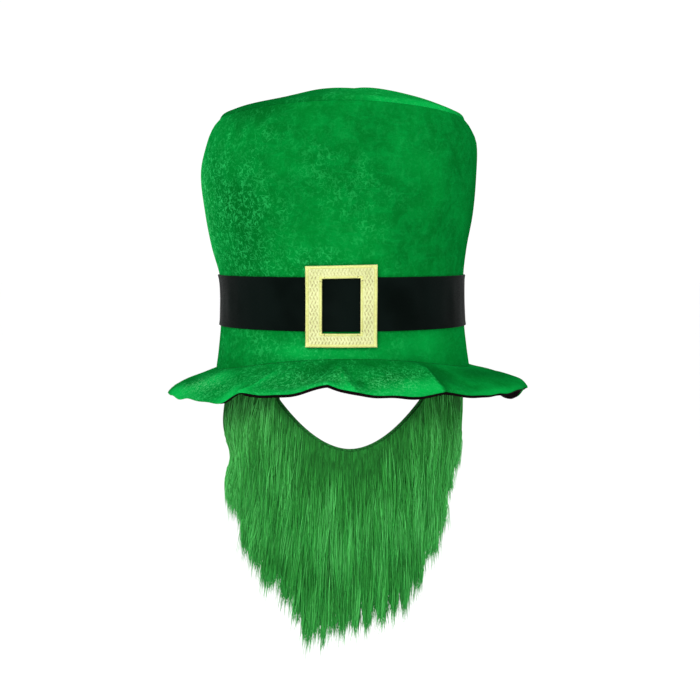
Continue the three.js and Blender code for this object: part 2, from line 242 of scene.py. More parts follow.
def addNode(tree, kind, settings=None, **inputs):
    node = tree.nodes.new("ShaderNode" + kind)
    for name, value in (settings or {}).items():
        setattr(node, name, value)
    for name, value in inputs.items():
        socket = node.inputs[name]
        if isinstance(value, bpy.types.NodeSocket):
            tree.links.new(value, socket)
        else:
            socket.default_value = value
    return node


def objectPlace(tree, stretch=(1, 1, 1)):
    place = addNode(tree, "TexCoord").outputs["Object"]
    return addNode(tree, "Mapping", Vector=place, Scale=stretch).outputs["Vector"]


def noise(tree, place, scale, detail=2.0, roughness=0.5, distortion=0.0):
    return addNode(tree, "TexNoise", Vector=place, Scale=scale, Detail=detail, Roughness=roughness,
                   Distortion=distortion).outputs["Fac"]


def remap(tree, value, low, high, toLow=0.0, toHigh=1.0):
    node = addNode(tree, "MapRange", {"interpolation_type": "SMOOTHSTEP"})
    tree.links.new(value, node.inputs["Value"])
    for name, number in (("From Min", low), ("From Max", high), ("To Min", toLow), ("To Max", toHigh)):
        node.inputs[name].default_value = number
    return node.outputs["Result"]


def calculate(tree, operation, a, b=0.0):
    node = addNode(tree, "Math", {"operation": operation})
    for socket, value in zip(node.inputs, (a, b)):
        if isinstance(value, bpy.types.NodeSocket):
            tree.links.new(value, socket)
        else:
            socket.default_value = value
    return node.outputs["Value"]


def mixColours(tree, share, first, second, blend="MIX"):
    node = addNode(tree, "Mix", {"data_type": "RGBA", "blend_type": blend})
    for socket, value in zip((node.inputs[0], node.inputs[6], node.inputs[7]), (share, first, second)):
        if isinstance(value, bpy.types.NodeSocket):
            tree.links.new(value, socket)
        else:
            socket.default_value = value if isinstance(value, float) else (*value, 1)
    return node.outputs[2]


def bump(tree, height, strength, distance, below=None):
    node = addNode(tree, "Bump", Height=height, Strength=strength, Distance=distance)
    if below is not None:
        tree.links.new(below, node.inputs["Normal"])
    return node.outputs["Normal"]


# Plush greens: the colour laid where the marks are positive is mostly painted light, the deepest one also serves
# as painted shade, and the whitest fleck colour is a painted sheen.
plush = {
    "deep": (0.0004, 0.074, 0.008), "main": (0.0006, 0.156, 0.019), "light": (0.0012, 0.215, 0.033),
    "paintedLightAndLightNap": (0.002, 0.330, 0.052), "fleck": (0.022, 0.41, 0.100), "frostAndSheen": (0.130, 0.56, 0.220),
    "shadeScale": 16.0, "crushScale": 85.0, "curlScale": 240.0, "patchScale": 42.0, "fleckStrength": 0.60,
}


def curlFlecks(tree, place, scale, cut):
    # short curly strokes: the thin contour lines of a noise, broken up by another noise
    curl = noise(tree, place, scale, 1.0, 0.5, 0.5)
    line = remap(tree, calculate(tree, "ABSOLUTE", calculate(tree, "SUBTRACT", curl, 0.5)), 0.018, 0.06, 1, 0)
    return calculate(tree, "MULTIPLY", line, remap(tree, noise(tree, place, scale * 0.9, 1.0), cut, cut + 0.09))


def plushMaterial(name, curlScale, fineScale, deep=plush["deep"]):
    # crushed velour: its nap lies lighter or darker in places, and the same marks carry painted light and painted
    # shade; curly light flecks where it stands up are partly its own pattern and partly painted highlights,
    # whitened to a painted sheen where the curl marks are high
    material, tree, shader = newMaterial(name, **{
        "Roughness": 0.95, "Specular IOR Level": 0.0, "Sheen Weight": 0.04, "Sheen Roughness": 0.4,
        "Sheen Tint": (0.01, 0.8, 0.22, 1)})
    place = objectPlace(tree)
    napAndPaintedLight = addNode(tree, "Attribute", {"attribute_name": "napAndPaintedLight"}).outputs["Fac"]
    curlsAndSheen = addNode(tree, "Attribute", {"attribute_name": "curlsAndSheen"}).outputs["Fac"]
    shade = remap(tree, noise(tree, place, plush["shadeScale"], 3, 0.6), 0.32, 0.68)
    crush = remap(tree, noise(tree, place, plush["crushScale"], 3, 0.65, 0.5), 0.36, 0.68)
    streaks = noise(tree, objectPlace(tree, (1, 1, 5)), 60, 2, 0.6)
    ground = mixColours(tree, calculate(tree, "ADD", calculate(tree, "MULTIPLY", shade, 0.55), 0.3),
                        plush["deep"], plush["main"])
    ground = mixColours(tree, calculate(tree, "MULTIPLY", crush, 0.36), ground, plush["light"])
    ground = mixColours(tree, remap(tree, streaks, 0.55, 0.75, 0, 0.25), ground, plush["light"])
    # painted shade where the marks are negative and painted light where they are positive, over some real lighter
    # and darker nap
    ground = mixColours(tree, remap(tree, napAndPaintedLight, 0, -1, 0, 0.92), ground, deep)
    ground = mixColours(tree, remap(tree, napAndPaintedLight, 0, 1, 0, 0.9), ground, plush["paintedLightAndLightNap"])
    patches = remap(tree, calculate(tree, "ADD", noise(tree, place, plush["patchScale"], 3, 0.7), curlsAndSheen),
                    0.45, 1.1, 0.10, 1.0)
    coarse = curlFlecks(tree, place, curlScale, 0.42)
    fine = curlFlecks(tree, place, fineScale, 0.45)
    both = calculate(tree, "MAXIMUM", coarse, calculate(tree, "MULTIPLY", fine, 0.7))
    flecks = calculate(tree, "MULTIPLY", both, patches)
    amount = calculate(tree, "MULTIPLY", flecks, remap(tree, curlsAndSheen, 0.3, 0.9, plush["fleckStrength"], 0.8))
    # the flecks, partly painted highlights, turn whiter into a painted sheen where the curl marks are high
    fleckColour = mixColours(tree, remap(tree, curlsAndSheen, 0.35, 0.9), plush["fleck"], plush["frostAndSheen"])
    tree.links.new(mixColours(tree, amount, ground, fleckColour), shader.inputs["Base Color"])
    fibres = noise(tree, place, 1500, 2, 0.7)
    rough = calculate(tree, "ADD", calculate(tree, "MULTIPLY", flecks, 0.7), crush)
    normal = bump(tree, rough, 0.45, 0.0009)
    tree.links.new(bump(tree, fibres, 0.4, 0.0006, normal), shader.inputs["Normal"])
    return material


def wovenMaterial(name, light, dark, pitch, gapShade=0.35, **surface):
    # a plain close weave, seen in the piece's own coordinates; the fifth argument is how far the gaps between
    # threads darken, a painted shade
    material, tree, shader = newMaterial(name, **surface)
    place = objectPlace(tree)
    across = addNode(tree, "TexWave", {"wave_type": "BANDS", "bands_direction": "DIAGONAL"}, Vector=place,
                     Scale=0.31 / pitch, Distortion=0.6, Detail=1.0).outputs["Fac"]
    along = addNode(tree, "TexWave", {"wave_type": "BANDS", "bands_direction": "Z"}, Vector=place,
                    Scale=0.31 / pitch, Distortion=0.4, Detail=1.0).outputs["Fac"]
    weave = calculate(tree, "MULTIPLY", across, along)
    broad = noise(tree, place, 30, 3, 0.6)
    colour = mixColours(tree, remap(tree, broad, 0.3, 0.7, 0.25, 0.9), dark, light)
    # painted shade in the gaps between threads
    colour = mixColours(tree, remap(tree, weave, 0.0, 0.5, gapShade, 0), colour, tuple(0.35 * c for c in dark))
    tree.links.new(colour, shader.inputs["Base Color"])
    tree.links.new(bump(tree, weave, 0.35, pitch / 3), shader.inputs["Normal"])
    return material


def satinMaterial():
    material, tree, shader = newMaterial("blackSatin", **{
        "Roughness": 0.5, "Specular IOR Level": 0.015})
    place = objectPlace(tree)
    threads = noise(tree, objectPlace(tree, (1, 1, 14)), 260, 2, 0.6)
    broad = remap(tree, noise(tree, place, 24, 2, 0.5), 0.35, 0.65)
    tree.links.new(mixColours(tree, broad, (0.0005, 0.0018, 0.0013), (0.0016, 0.0038, 0.0031)),
                   shader.inputs["Base Color"])
    tree.links.new(remap(tree, threads, 0.3, 0.7, 0.42, 0.58), shader.inputs["Roughness"])
    tree.links.new(bump(tree, threads, 0.25, 0.0003), shader.inputs["Normal"])
    return material


def threadMaterial(name, light, dark, roughness, metallic):
    material, tree, shader = newMaterial(name, **{
        "Roughness": roughness, "Metallic": metallic, "Specular IOR Level": 0.6, "Sheen Weight": 0.15})
    place = objectPlace(tree)
    tone = noise(tree, place, 700, 2, 0.6)
    broad = noise(tree, place, 60, 2, 0.5)
    mixed = calculate(tree, "ADD", calculate(tree, "MULTIPLY", tone, 0.6),
                      calculate(tree, "MULTIPLY", broad, 0.4))
    tree.links.new(mixColours(tree, remap(tree, mixed, 0.36, 0.64), dark, light), shader.inputs["Base Color"])
    tree.links.new(bump(tree, noise(tree, place, 2600, 2, 0.6), 0.3, 0.0002), shader.inputs["Normal"])
    return material


furTones = {
    "root": (0.010, 0.120, 0.014), "dark": (0.012, 0.150, 0.018), "main": (0.030, 0.300, 0.042),
    "light": (0.085, 0.500, 0.110), "tip": (0.022, 0.390, 0.055),
}


def furMaterial(name):
    # each hair has its own tone, is darker at its root, a painted shade where the roots lie under the other hair,
    # and clearer green at its tip
    material, tree, shader = newMaterial(name, **{"Roughness": 0.55, "Specular IOR Level": 0.12})
    tone = addNode(tree, "Attribute", {"attribute_name": "tone"}).outputs["Fac"]
    along = addNode(tree, "Attribute", {"attribute_name": "along"}).outputs["Fac"]
    colour = mixColours(tree, remap(tree, tone, 0.05, 0.5), furTones["dark"], furTones["main"])
    colour = mixColours(tree, remap(tree, tone, 0.5, 0.95), colour, furTones["light"])
    # painted shade at the roots
    colour = mixColours(tree, remap(tree, along, 0.0, 0.3, 0.3, 0), colour, furTones["root"])
    colour = mixColours(tree, remap(tree, along, 0.55, 1.0, 0, 0.55), colour, furTones["tip"])
    tree.links.new(colour, shader.inputs["Base Color"])
    return material


def coatMaterial():
    material, tree, shader = newMaterial("denseUndercoat", Roughness=0.9, **{"Specular IOR Level": 0.08})
    strands = noise(tree, objectPlace(tree, (1, 1, 0.08)), 900, 3, 0.65)
    colour = mixColours(tree, remap(tree, strands, 0.35, 0.65), (0.006, 0.066, 0.009), (0.013, 0.145, 0.020))
    tree.links.new(colour, shader.inputs["Base Color"])
    tree.links.new(bump(tree, strands, 0.8, 0.0012), shader.inputs["Normal"])
    return material


greenPlush = plushMaterial("greenPlush", plush["curlScale"], 420)
brimPlush = plushMaterial("brimPlush", 360, 600)
# the top panel's darkest colour is deeper still, a painted shadow for its left side
tipPlush = plushMaterial("tipPlush", plush["curlScale"], 420, (0.0003, 0.048, 0.006))
blackBack = wovenMaterial("blackFoamBack", (0.010, 0.009, 0.010), (0.005, 0.005, 0.005), 0.0011,
                          Roughness=0.9, **{"Specular IOR Level": 0.1})
blackLining = wovenMaterial("blackLining", (0.0066, 0.0024, 0.0034), (0.0022, 0.0010, 0.0012), 0.0008,
                            Roughness=0.9, **{"Specular IOR Level": 0.01})
blackSatin = satinMaterial()
paleGold = threadMaterial("paleGoldThread", (0.58, 0.61, 0.22), (0.49, 0.49, 0.15), 0.45, 0.05)
whiteGold = threadMaterial("whiteGoldThread", (0.60, 0.62, 0.32), (0.50, 0.52, 0.225), 0.45, 0.05)
goldGround = threadMaterial("goldGround", (0.36, 0.33, 0.13), (0.22, 0.19, 0.08), 0.7, 0.0)
greenKnit = wovenMaterial("greenKnit", (0.020, 0.190, 0.032), (0.012, 0.130, 0.020), 0.0018, 0.7,
                          Roughness=0.9, **{"Specular IOR Level": 0.1})
furGreen = furMaterial("furGreen")
coatGreen = coatMaterial()
print("materials made")


# Crown

crown = {"columns": 120, "rows": 46, "edge": 0.0003, "cutBelow": 0.02}
# Where the nap lies light or dark, together with painted light (the lighter left edge, the band just above the
# brim seam) and painted shade (the darker right edge, the corner under the top seam), and where it curls: "at" and
# "tall" are heights.
crownNapAndPaintedLight = [
    {"bearing": -96, "at": 0.13, "wide": 30, "tall": 0.08, "tone": 0.75},
    {"bearing": -39, "at": 0.123, "wide": 14, "tall": 0.030, "tone": -0.65},
    {"bearing": -58, "at": 0.13, "wide": 12, "tall": 0.035, "tone": -0.45},
    {"bearing": -42, "at": 0.092, "wide": 12, "tall": 0.018, "tone": -0.4},
    {"bearing": -62, "at": 0.165, "wide": 9, "tall": 0.02, "tone": -0.4},
    {"bearing": 82, "at": 0.13, "wide": 17, "tall": 0.06, "tone": -0.8},
    {"bearing": -5, "at": 0.020, "wide": 34, "tall": 0.010, "tone": 0.50},
    {"bearing": -55, "at": 0.022, "wide": 22, "tall": 0.02, "tone": 0.12},
    {"bearing": 40, "at": 0.026, "wide": 14, "tall": 0.014, "tone": 0.34},
    {"bearing": -42, "at": 0.197, "wide": 24, "tall": 0.011, "tone": -0.95},
    {"bearing": 22, "at": 0.192, "wide": 20, "tall": 0.007, "tone": -0.3},
    {"bearing": 62, "at": 0.192, "wide": 14, "tall": 0.008, "tone": -0.4},
    {"bearing": 28, "at": 0.160, "wide": 18, "tall": 0.02, "tone": 0.22},
    {"bearing": -20, "at": 0.018, "wide": 7, "tall": 0.006, "tone": 0.22},
    {"bearing": 150, "at": 0.12, "wide": 30, "tall": 0.03, "tone": -0.4},
    {"bearing": -150, "at": 0.15, "wide": 25, "tall": 0.04, "tone": 0.2},
    {"bearing": 180, "at": 0.06, "wide": 20, "tall": 0.03, "tone": -0.3},
]
# Where the nap curls into light flecks, partly painted highlights; the strong patch at the far left whitens them
# into a painted sheen.
crownCurlsAndSheen = [
    {"bearing": -98, "at": 0.12, "wide": 38, "tall": 0.09, "tone": 0.75},
    {"bearing": -42, "at": 0.13, "wide": 20, "tall": 0.045, "tone": 0.28},
    {"bearing": -2, "at": 0.145, "wide": 13, "tall": 0.03, "tone": 0.20},
    {"bearing": 14, "at": 0.115, "wide": 10, "tall": 0.018, "tone": 0.14},
    {"bearing": 32, "at": 0.17, "wide": 10, "tall": 0.012, "tone": 0.12},
    {"bearing": -20, "at": 0.083, "wide": 34, "tall": 0.014, "tone": 0.20},
    {"bearing": -18, "at": 0.02, "wide": 30, "tall": 0.013, "tone": 0.3},
    {"bearing": 60, "at": 0.10, "wide": 26, "tall": 0.08, "tone": -0.35},
    {"bearing": 15, "at": 0.19, "wide": 30, "tall": 0.02, "tone": -0.15},
    {"bearing": 180, "at": 0.12, "wide": 70, "tall": 0.06, "tone": 0.22},
]


def makeCrown():
    rows = np.linspace(0, 1, crown["rows"])
    piece = drawnTube("crown_wall", crown["columns"], rows)
    points = meshPoints(piece)
    setMeshPoints(piece, crownPoint(bearingsOf(points), points[:, 2]))
    faceOutwards(piece)
    piece.data.materials.append(greenPlush)
    piece.data.materials.append(blackBack)
    giveThickness(piece, hat["crownWall"], crown["edge"], backSlot=1)
    for polygon in piece.data.polygons:
        # the wall's cut edge at the rim shows its black back, not the plush
        if polygon.center.z < crown["cutBelow"] and polygon.normal.z < -0.2:
            polygon.material_index = 1
    points = meshPoints(piece)
    giveAttribute(piece, "napAndPaintedLight", softMarks(crownNapAndPaintedLight, bearingsOf(points), points[:, 2]))
    giveAttribute(piece, "curlsAndSheen", softMarks(crownCurlsAndSheen, bearingsOf(points), points[:, 2]))
    finishPiece(piece, "plush", "crown")


makeCrown()
print("crown made")


# Top panel

tip = {"rise": 0.016, "sway": 0.012, "wall": 0.0026, "edge": 0.0002, "inner": 0.0020, "round": 0.028,
       "turnPower": 2.6, "uneven": 0.0009, "columns": 120}
# Marks on the top panel: painted shade over its left, painted light over its right, over some nap; "at" and "tall"
# are shares inwards.
tipNapAndPaintedLight = [
    {"bearing": -66, "at": 0.06, "wide": 36, "tall": 0.22, "tone": -1.0},
    {"bearing": -40, "at": 0.05, "wide": 14, "tall": 0.10, "tone": -0.35},
    {"bearing": 52, "at": 0.03, "wide": 26, "tall": 0.12, "tone": 1.0},
    {"bearing": 15, "at": 0.03, "wide": 20, "tall": 0.04, "tone": 0.45},
    {"bearing": -12, "at": 0.1, "wide": 22, "tall": 0.3, "tone": -0.5},
    {"bearing": 140, "at": 0.5, "wide": 40, "tall": 0.3, "tone": -0.3},
]
tipSections = [
    {"in": 0.0, "rise": 0.0},
    {"in": 0.03, "rise": 0.08},
    {"in": 0.12, "rise": 0.29},
    {"in": 0.3, "rise": 0.6},
    {"in": 0.6, "rise": 0.9},
    {"in": 1.0, "rise": 1.0},
]


def makeTip():
    inwards = np.concatenate([np.linspace(0, 0.03, 8), np.linspace(0.04, 0.12, 7), np.linspace(0.15, 0.97, 22)])
    piece = drawnTube("top_panel", tip["columns"], inwards)
    editAll(piece)
    bpy.ops.mesh.select_all(action="DESELECT")
    bpy.ops.object.mode_set(mode="OBJECT")
    for vertex in piece.data.vertices:
        vertex.select = vertex.co.z > inwards[-1] - 1e-4
    bpy.ops.object.mode_set(mode="EDIT")
    bpy.ops.mesh.extrude_region_move(TRANSFORM_OT_translate={"value": (0, 0, float(1 - inwards[-1]))})
    bpy.ops.mesh.merge(type="CENTER")
    bpy.ops.object.mode_set(mode="OBJECT")
    points = meshPoints(piece)
    bearing, share = bearingsOf(points), np.clip(points[:, 2], 0, 1)
    edge = crownPoint(bearing, 1.0)
    middle = np.array([tip["sway"], 0, hat["crownHeight"] + hat["topArch"] / 2])
    placed = edge * (1 - share[:, None]) + middle * share[:, None]
    turned = tip["wall"] * (1 - (1 - np.minimum(share / tip["round"], 1)) ** tip["turnPower"])
    a = np.radians(bearing)
    uneven = tip["uneven"] * (np.sin(3 * a + 1) + np.sin(5 * a + 9 * share)) * np.sin(np.pi * share)
    placed[:, 2] += turned + tip["rise"] * readTable(tipSections, "in", share, "rise") + uneven
    setMeshPoints(piece, placed)
    faceOutwards(piece)
    piece.data.materials.append(tipPlush)
    piece.data.materials.append(blackBack)
    giveThickness(piece, tip["inner"], tip["edge"], backSlot=1)
    points = meshPoints(piece)
    inwards = 1 - np.hypot(points[:, 0] - tip["sway"], points[:, 1]) / (hat["crownWidth"] / 2)
    napAndPaintedLight = softMarks(tipNapAndPaintedLight, bearingsOf(points), inwards)
    giveAttribute(piece, "napAndPaintedLight", napAndPaintedLight)
    # fewer flecks where painted shade falls
    giveAttribute(piece, "curlsAndSheen", 0.2 + 0.4 * np.minimum(napAndPaintedLight, 0))
    finishPiece(piece, "plush", "crown_tip")


makeTip()
print("top panel made")


# Brim and its lining

brim = {"columns": 360, "rows": 26, "seat": 0.0015, "edge": 0.0008, "liningEdge": 0.0004, "curl": 0.0008,
        "flutter": 0.0005, "liningExtra": 0.0004, "liningShort": 0.06, "liningCreased": 0.12}
brimHang = roundTable([
    {"bearing": -180, "out": 0.86, "drop": 0.42, "flare": 0.9},
    {"bearing": -130, "out": 0.86, "drop": 0.42, "flare": 0.85},
    {"bearing": -90, "out": 0.84, "drop": 0.41, "flare": 0.7},
    {"bearing": -65, "out": 0.83, "drop": 0.42, "flare": 0.8},
    {"bearing": -46, "out": 0.82, "drop": 0.43, "flare": 1.0},
    {"bearing": -25, "out": 0.8, "drop": 0.41, "flare": 1.3},
    {"bearing": 0, "out": 0.8, "drop": 0.465, "flare": 1.3},
    {"bearing": 20, "out": 0.8, "drop": 0.44, "flare": 1.3},
    {"bearing": 40, "out": 0.84, "drop": 0.37, "flare": 1.1},
    {"bearing": 58, "out": 0.92, "drop": 0.355, "flare": 0.8},
    {"bearing": 75, "out": 1.0, "drop": 0.31, "flare": 0.6},
    {"bearing": 90, "out": 1.01, "drop": 0.37, "flare": 0.5},
    {"bearing": 96, "out": 1.02, "drop": 0.47, "flare": 0.52},
    {"bearing": 104, "out": 1.0, "drop": 0.65, "flare": 0.6},
    {"bearing": 118, "out": 0.94, "drop": 0.57, "flare": 0.7},
    {"bearing": 135, "out": 0.88, "drop": 0.44, "flare": 0.85},
])
brimFolds = [
    {"bearing": -3.9, "spread": 7.5, "lift": 0.205, "root": 1.6, "shape": 1.4},
    {"bearing": 34, "spread": 5, "lift": 0.03, "root": 1.0},
    {"bearing": 42, "spread": 5, "lift": -0.04, "root": 1.0},
    {"bearing": -29, "spread": 5, "lift": 0.03, "root": 1.2},
    {"bearing": -40.5, "spread": 4, "lift": -0.045, "root": 1.2},
    {"bearing": -46, "spread": 7, "lift": -0.045, "root": 1.2},
    {"bearing": 52, "spread": 4, "lift": -0.045, "root": 1.2},
    {"bearing": -34, "spread": 3, "lift": 0.03, "root": 1.4},
    {"bearing": -78, "spread": 12, "lift": 0.03, "root": 2.0},
    {"bearing": 146, "spread": 13, "lift": 0.13, "root": 1.4},
    {"bearing": -168, "spread": 15, "lift": -0.08, "root": 1.2},
    {"bearing": -136, "spread": 14, "lift": 0.12, "root": 1.4},
    {"bearing": -110, "spread": 11, "lift": -0.05, "root": 1.4},
]
# A crease runs from the seam to the edge: the cloth swells slowly on one side and drops quickly on the other;
# "shade" is painted shade on the quick side and "glow" a painted highlight on the slow side.
brimCreases = [
    {"seam": 32.5, "edge": 30, "rise": 0.0034, "push": 0.0034, "over": 1.5, "slow": 8, "quick": 1.8,
     "shade": 1.1, "glow": 0.35},
    {"seam": -2.5, "edge": 3.5, "rise": 0.0024, "push": 0.0014, "over": 0.4, "slow": 2.6, "quick": 2.4,
     "shade": 0.35, "glow": 0.45},
    {"seam": -24, "edge": -34, "rise": 0.0010, "push": -0.0030, "over": 0, "slow": 2.0, "quick": 6,
     "shade": -0.5, "glow": -0.2},
]
# Painted shade and painted light on the brim, over some nap: darker valleys beside the folds and a darker right
# side, painted highlights on the lit slopes and along the edge; "at" is a share of the way out.
brimNapAndPaintedLight = [
    {"bearing": -6, "at": 0.28, "wide": 7, "tall": 0.28, "tone": -0.8},
    {"bearing": 6.6, "at": 0.66, "wide": 1.7, "tall": 0.2, "tone": -0.8},
    {"bearing": 9, "at": 0.25, "wide": 6, "tall": 0.2, "tone": -0.4},
    {"bearing": 13, "at": 0.08, "wide": 16, "tall": 0.12, "tone": -0.5},
    {"bearing": 38, "at": 0.35, "wide": 7, "tall": 0.4, "tone": -1.0},
    {"bearing": 60, "at": 0.35, "wide": 12, "tall": 0.3, "tone": -0.9},
    {"bearing": 84, "at": 0.55, "wide": 16, "tall": 0.3, "tone": -1.0},
    {"bearing": -76, "at": 0.55, "wide": 10, "tall": 0.2, "tone": -0.7},
    {"bearing": -22, "at": 0.6, "wide": 12, "tall": 0.4, "tone": 0.22},
    {"bearing": -56, "at": 0.4, "wide": 9, "tall": 0.35, "tone": 0.8},
    {"bearing": -66, "at": 0.9, "wide": 13, "tall": 0.25, "tone": 0.8},
    {"bearing": -37, "at": 0.85, "wide": 4, "tall": 0.25, "tone": 0.8},
    {"bearing": -4, "at": 1.0, "wide": 36, "tall": 0.15, "tone": 0.5},
    {"bearing": 23, "at": 0.8, "wide": 11, "tall": 0.28, "tone": 0.65},
    {"bearing": 56, "at": 1.0, "wide": 18, "tall": 0.12, "tone": 0.5},
    {"bearing": 84, "at": 0.9, "wide": 10, "tall": 0.1, "tone": 0.15},
]
brimCurlsAndSheen = [
    {"bearing": -8, "at": 0.6, "wide": 42, "tall": 0.8, "tone": 0.50},
    {"bearing": 22, "at": 0.7, "wide": 14, "tall": 0.5, "tone": 0.22},
    {"bearing": -62, "at": 0.6, "wide": 18, "tall": 0.6, "tone": 0.50},
    {"bearing": 60, "at": 0.5, "wide": 20, "tall": 0.8, "tone": -0.3},
    {"bearing": 180, "at": 0.5, "wide": 80, "tall": 0.8, "tone": 0.35},
]


def awayFromCrease(crease, bearing, share):
    return angleBetween(bearing, crease["seam"] + (crease["edge"] - crease["seam"]) * share)


def brimPoint(bearing, share, inset, creased=1.0):
    reach = hat["brimReach"]
    out = readTable(brimHang, "bearing", bearing, "out") * share * reach
    flare = readTable(brimHang, "bearing", bearing, "flare")
    drop = readTable(brimHang, "bearing", bearing, "drop") * (1 - (1 - share) ** flare)
    lift = np.zeros_like(out)
    for fold in brimFolds:
        away = angleBetween(bearing, fold["bearing"]) / fold["spread"]
        lift += fold["lift"] * np.exp(-np.abs(away) ** fold.get("shape", 2)) * share ** fold["root"]
    z = rimHeight(bearing) + (lift - drop) * reach
    folded = bearing
    for crease in brimCreases:
        away = awayFromCrease(crease, bearing, share)
        hump = np.exp(-((away / np.where(away < 0, crease["slow"], crease["quick"])) ** 2))
        z += creased * crease["rise"] * hump * np.sin(np.pi * np.clip(share, 0, 1) ** 0.8)
        out = out + crease["push"] * hump * share
        folded = folded + creased * crease["over"] * hump * share**0.7
    point = crownPoint(folded, 0.0, out - inset)
    a = np.radians(bearing)
    z += brim["flutter"] * share * (np.sin(17 * a + 5 * share) + np.sin(29 * a - 8 * share + 1))
    z -= brim["curl"] * smoothStep(share, 0.9, 1.0)
    point[..., 2] = z
    return point


def alongNormals(grid, distance):
    along = np.roll(grid, -1, axis=1) - np.roll(grid, 1, axis=1)
    across = np.empty_like(grid)
    across[1:-1] = grid[2:] - grid[:-2]
    across[0], across[-1] = grid[1] - grid[0], grid[-1] - grid[-2]
    normal = np.cross(across, along)
    normal /= np.linalg.norm(normal, axis=-1, keepdims=True)
    normal *= np.sign(normal[..., 2:])
    return grid + normal * distance


def makeBrimLayer(name, below, wall, edge, materials):
    rows = np.linspace(0, 1, brim["rows"])
    piece = drawnTube(name, brim["columns"], np.concatenate([[-0.05], rows]))
    points = meshPoints(piece)
    bearing, share = bearingsOf(points), points[:, 2]
    inset = np.where(share < -0.001, brim["seat"], -hat["gap"] * (share < 0.001))
    order = np.lexsort((bearing, np.round(share, 4)))
    creased, reach = 1.0, np.clip(share[order], 0, 1)
    if below > 0:  # the lining hardly follows the creases, and stops short of the edge on the left
        creased = brim["liningCreased"]
        shorter = smoothStep(bearing[order], -31, -35) * smoothStep(bearing[order], -100, -80)
        reach = reach * (1 - brim["liningShort"] * shorter)
    grid = brimPoint(bearing[order], reach, inset[order], creased)
    grid = grid.reshape(brim["rows"] + 1, brim["columns"], 3)
    placed = np.empty_like(points)
    placed[order] = alongNormals(grid, -below).reshape(-1, 3)
    setMeshPoints(piece, placed)
    faceOutwards(piece)
    if np.mean([polygon.normal.z for polygon in piece.data.polygons]) < 0:
        faceOutwards(piece, inside=True)
    for material in materials:
        piece.data.materials.append(material)
    giveThickness(piece, wall, edge, backSlot=len(materials) - 1)
    points = meshPoints(piece)
    bearing = bearingsOf(points)
    reach = readTable(brimHang, "bearing", bearing, "out") * hat["brimReach"]
    seam = np.hypot(*crownPoint(bearing, 0.0)[:, :2].T)
    share = (np.hypot(points[:, 0], points[:, 1]) - seam) / reach
    curlsAndSheen = softMarks(brimCurlsAndSheen, bearing, share)
    napAndPaintedLight = softMarks(brimNapAndPaintedLight, bearing, share)
    # painted shade on each crease's quick side and a painted highlight on its slow side
    for crease in brimCreases:
        away = awayFromCrease(crease, bearing, share) - crease["over"]
        reachOfCrease = smoothStep(share, 0.15, 0.4)
        napAndPaintedLight -= crease["shade"] * reachOfCrease * smoothStep(away, -0.5, 0.8) * np.exp(-((away / 3.6) ** 2))
        napAndPaintedLight += crease["glow"] * reachOfCrease * smoothStep(away, 0.8, -0.5) * np.exp(-((away / 3.2) ** 2))
    giveAttribute(piece, "napAndPaintedLight", np.clip(napAndPaintedLight, -1, 1))
    # fewer flecks where painted shade falls
    giveAttribute(piece, "curlsAndSheen", curlsAndSheen + 0.35 * np.clip(napAndPaintedLight, -1, 0))
    return piece


brimTop = makeBrimLayer("brim_top", 0.0, hat["brimWall"], brim["edge"], [brimPlush, blackBack])
finishPiece(brimTop, "plush", "brim")
lining = makeBrimLayer("brim_under", hat["brimWall"] + hat["gap"], hat["liningWall"] + brim["liningExtra"],
                       brim["liningEdge"], [blackLining])
finishPiece(lining, "dark_cloth", "brim_lining")
print("brim made")


# Band

band = {"columns": 160, "rows": 12, "edge": 0.0004, "hem": 0.0003, "thinner": 0.0002, "pucker": 0.00015}


def makeBand():
    low = hat["bandBottom"] / hat["crownHeight"]
    high = (hat["bandBottom"] + hat["bandWidth"]) / hat["crownHeight"]
    piece = drawnTube("satin_band", band["columns"], np.linspace(low, high, band["rows"]))
    points = meshPoints(piece)
    bearing, up = bearingsOf(points), points[:, 2]
    across = (up - low) / (high - low)
    hem = band["hem"] * (1 - smoothStep(np.minimum(across, 1 - across), 0.03, 0.1))
    a = np.radians(bearing)
    puckers = band["pucker"] * (np.sin(23 * a + 3 * across) + np.sin(41 * a + 2)) * np.sin(np.pi * across)
    outwards = hat["gap"] + hat["bandWall"] - band["thinner"] + hem + puckers
    setMeshPoints(piece, crownPoint(bearing, up, outwards))
    faceOutwards(piece)
    piece.data.materials.append(blackSatin)
    giveThickness(piece, hat["bandWall"] - band["thinner"], band["edge"])
    finishPiece(piece, "satin", "hat_band")


makeBand()
print("band made")


# Buckle: a padded frame, and the stitches over it

buckle = {
    "width": 0.0512, "height": 0.061, "wall": 0.0017, "drop": 0.0011, "sideBar": 0.0118, "crossBar": 0.0105,
    "border": 0.0024, "pitch": 0.00062, "thread": 0.00062, "seat": 0.0018, "topTilt": 0.023, "topDip": 0.0006,
    "holeAcross": 0.0024, "holeUp": 0.0030, "holeHeight": 0.0019, "holeWidth": 0.0005,
    "padInset": 0.0006, "borderInset": 0.0004, "windowInset": 0.0003, "borderRise": 0.0003, "fillRise": 0.00012,
    "closeGap": 0.00005, "narrowHole": 0.00016,
}


def bucklePoint(x, z, outwards):
    # a place on the buckle's flat drawing, bent round the band; its top edge tilts a little
    z = z + buckle["topTilt"] * x * smoothStep(z, -0.02, 0.03) - buckle["topDip"] * smoothStep(z, 0.02, 0.03)
    height = hat["bandBottom"] + hat["bandWidth"] / 2 - buckle["drop"] + z
    up = height / hat["crownHeight"]
    sway = hat["crownWidth"] * readTable(crownSections, "up", up, "sway")
    halfWidth = hat["crownWidth"] * readTable(crownSections, "up", up, "width") / 2
    bearing = np.degrees(np.arcsin(np.clip((x - sway) / halfWidth, -1, 1)))
    return crownPointAt(bearing, height, buckle["seat"] + outwards)


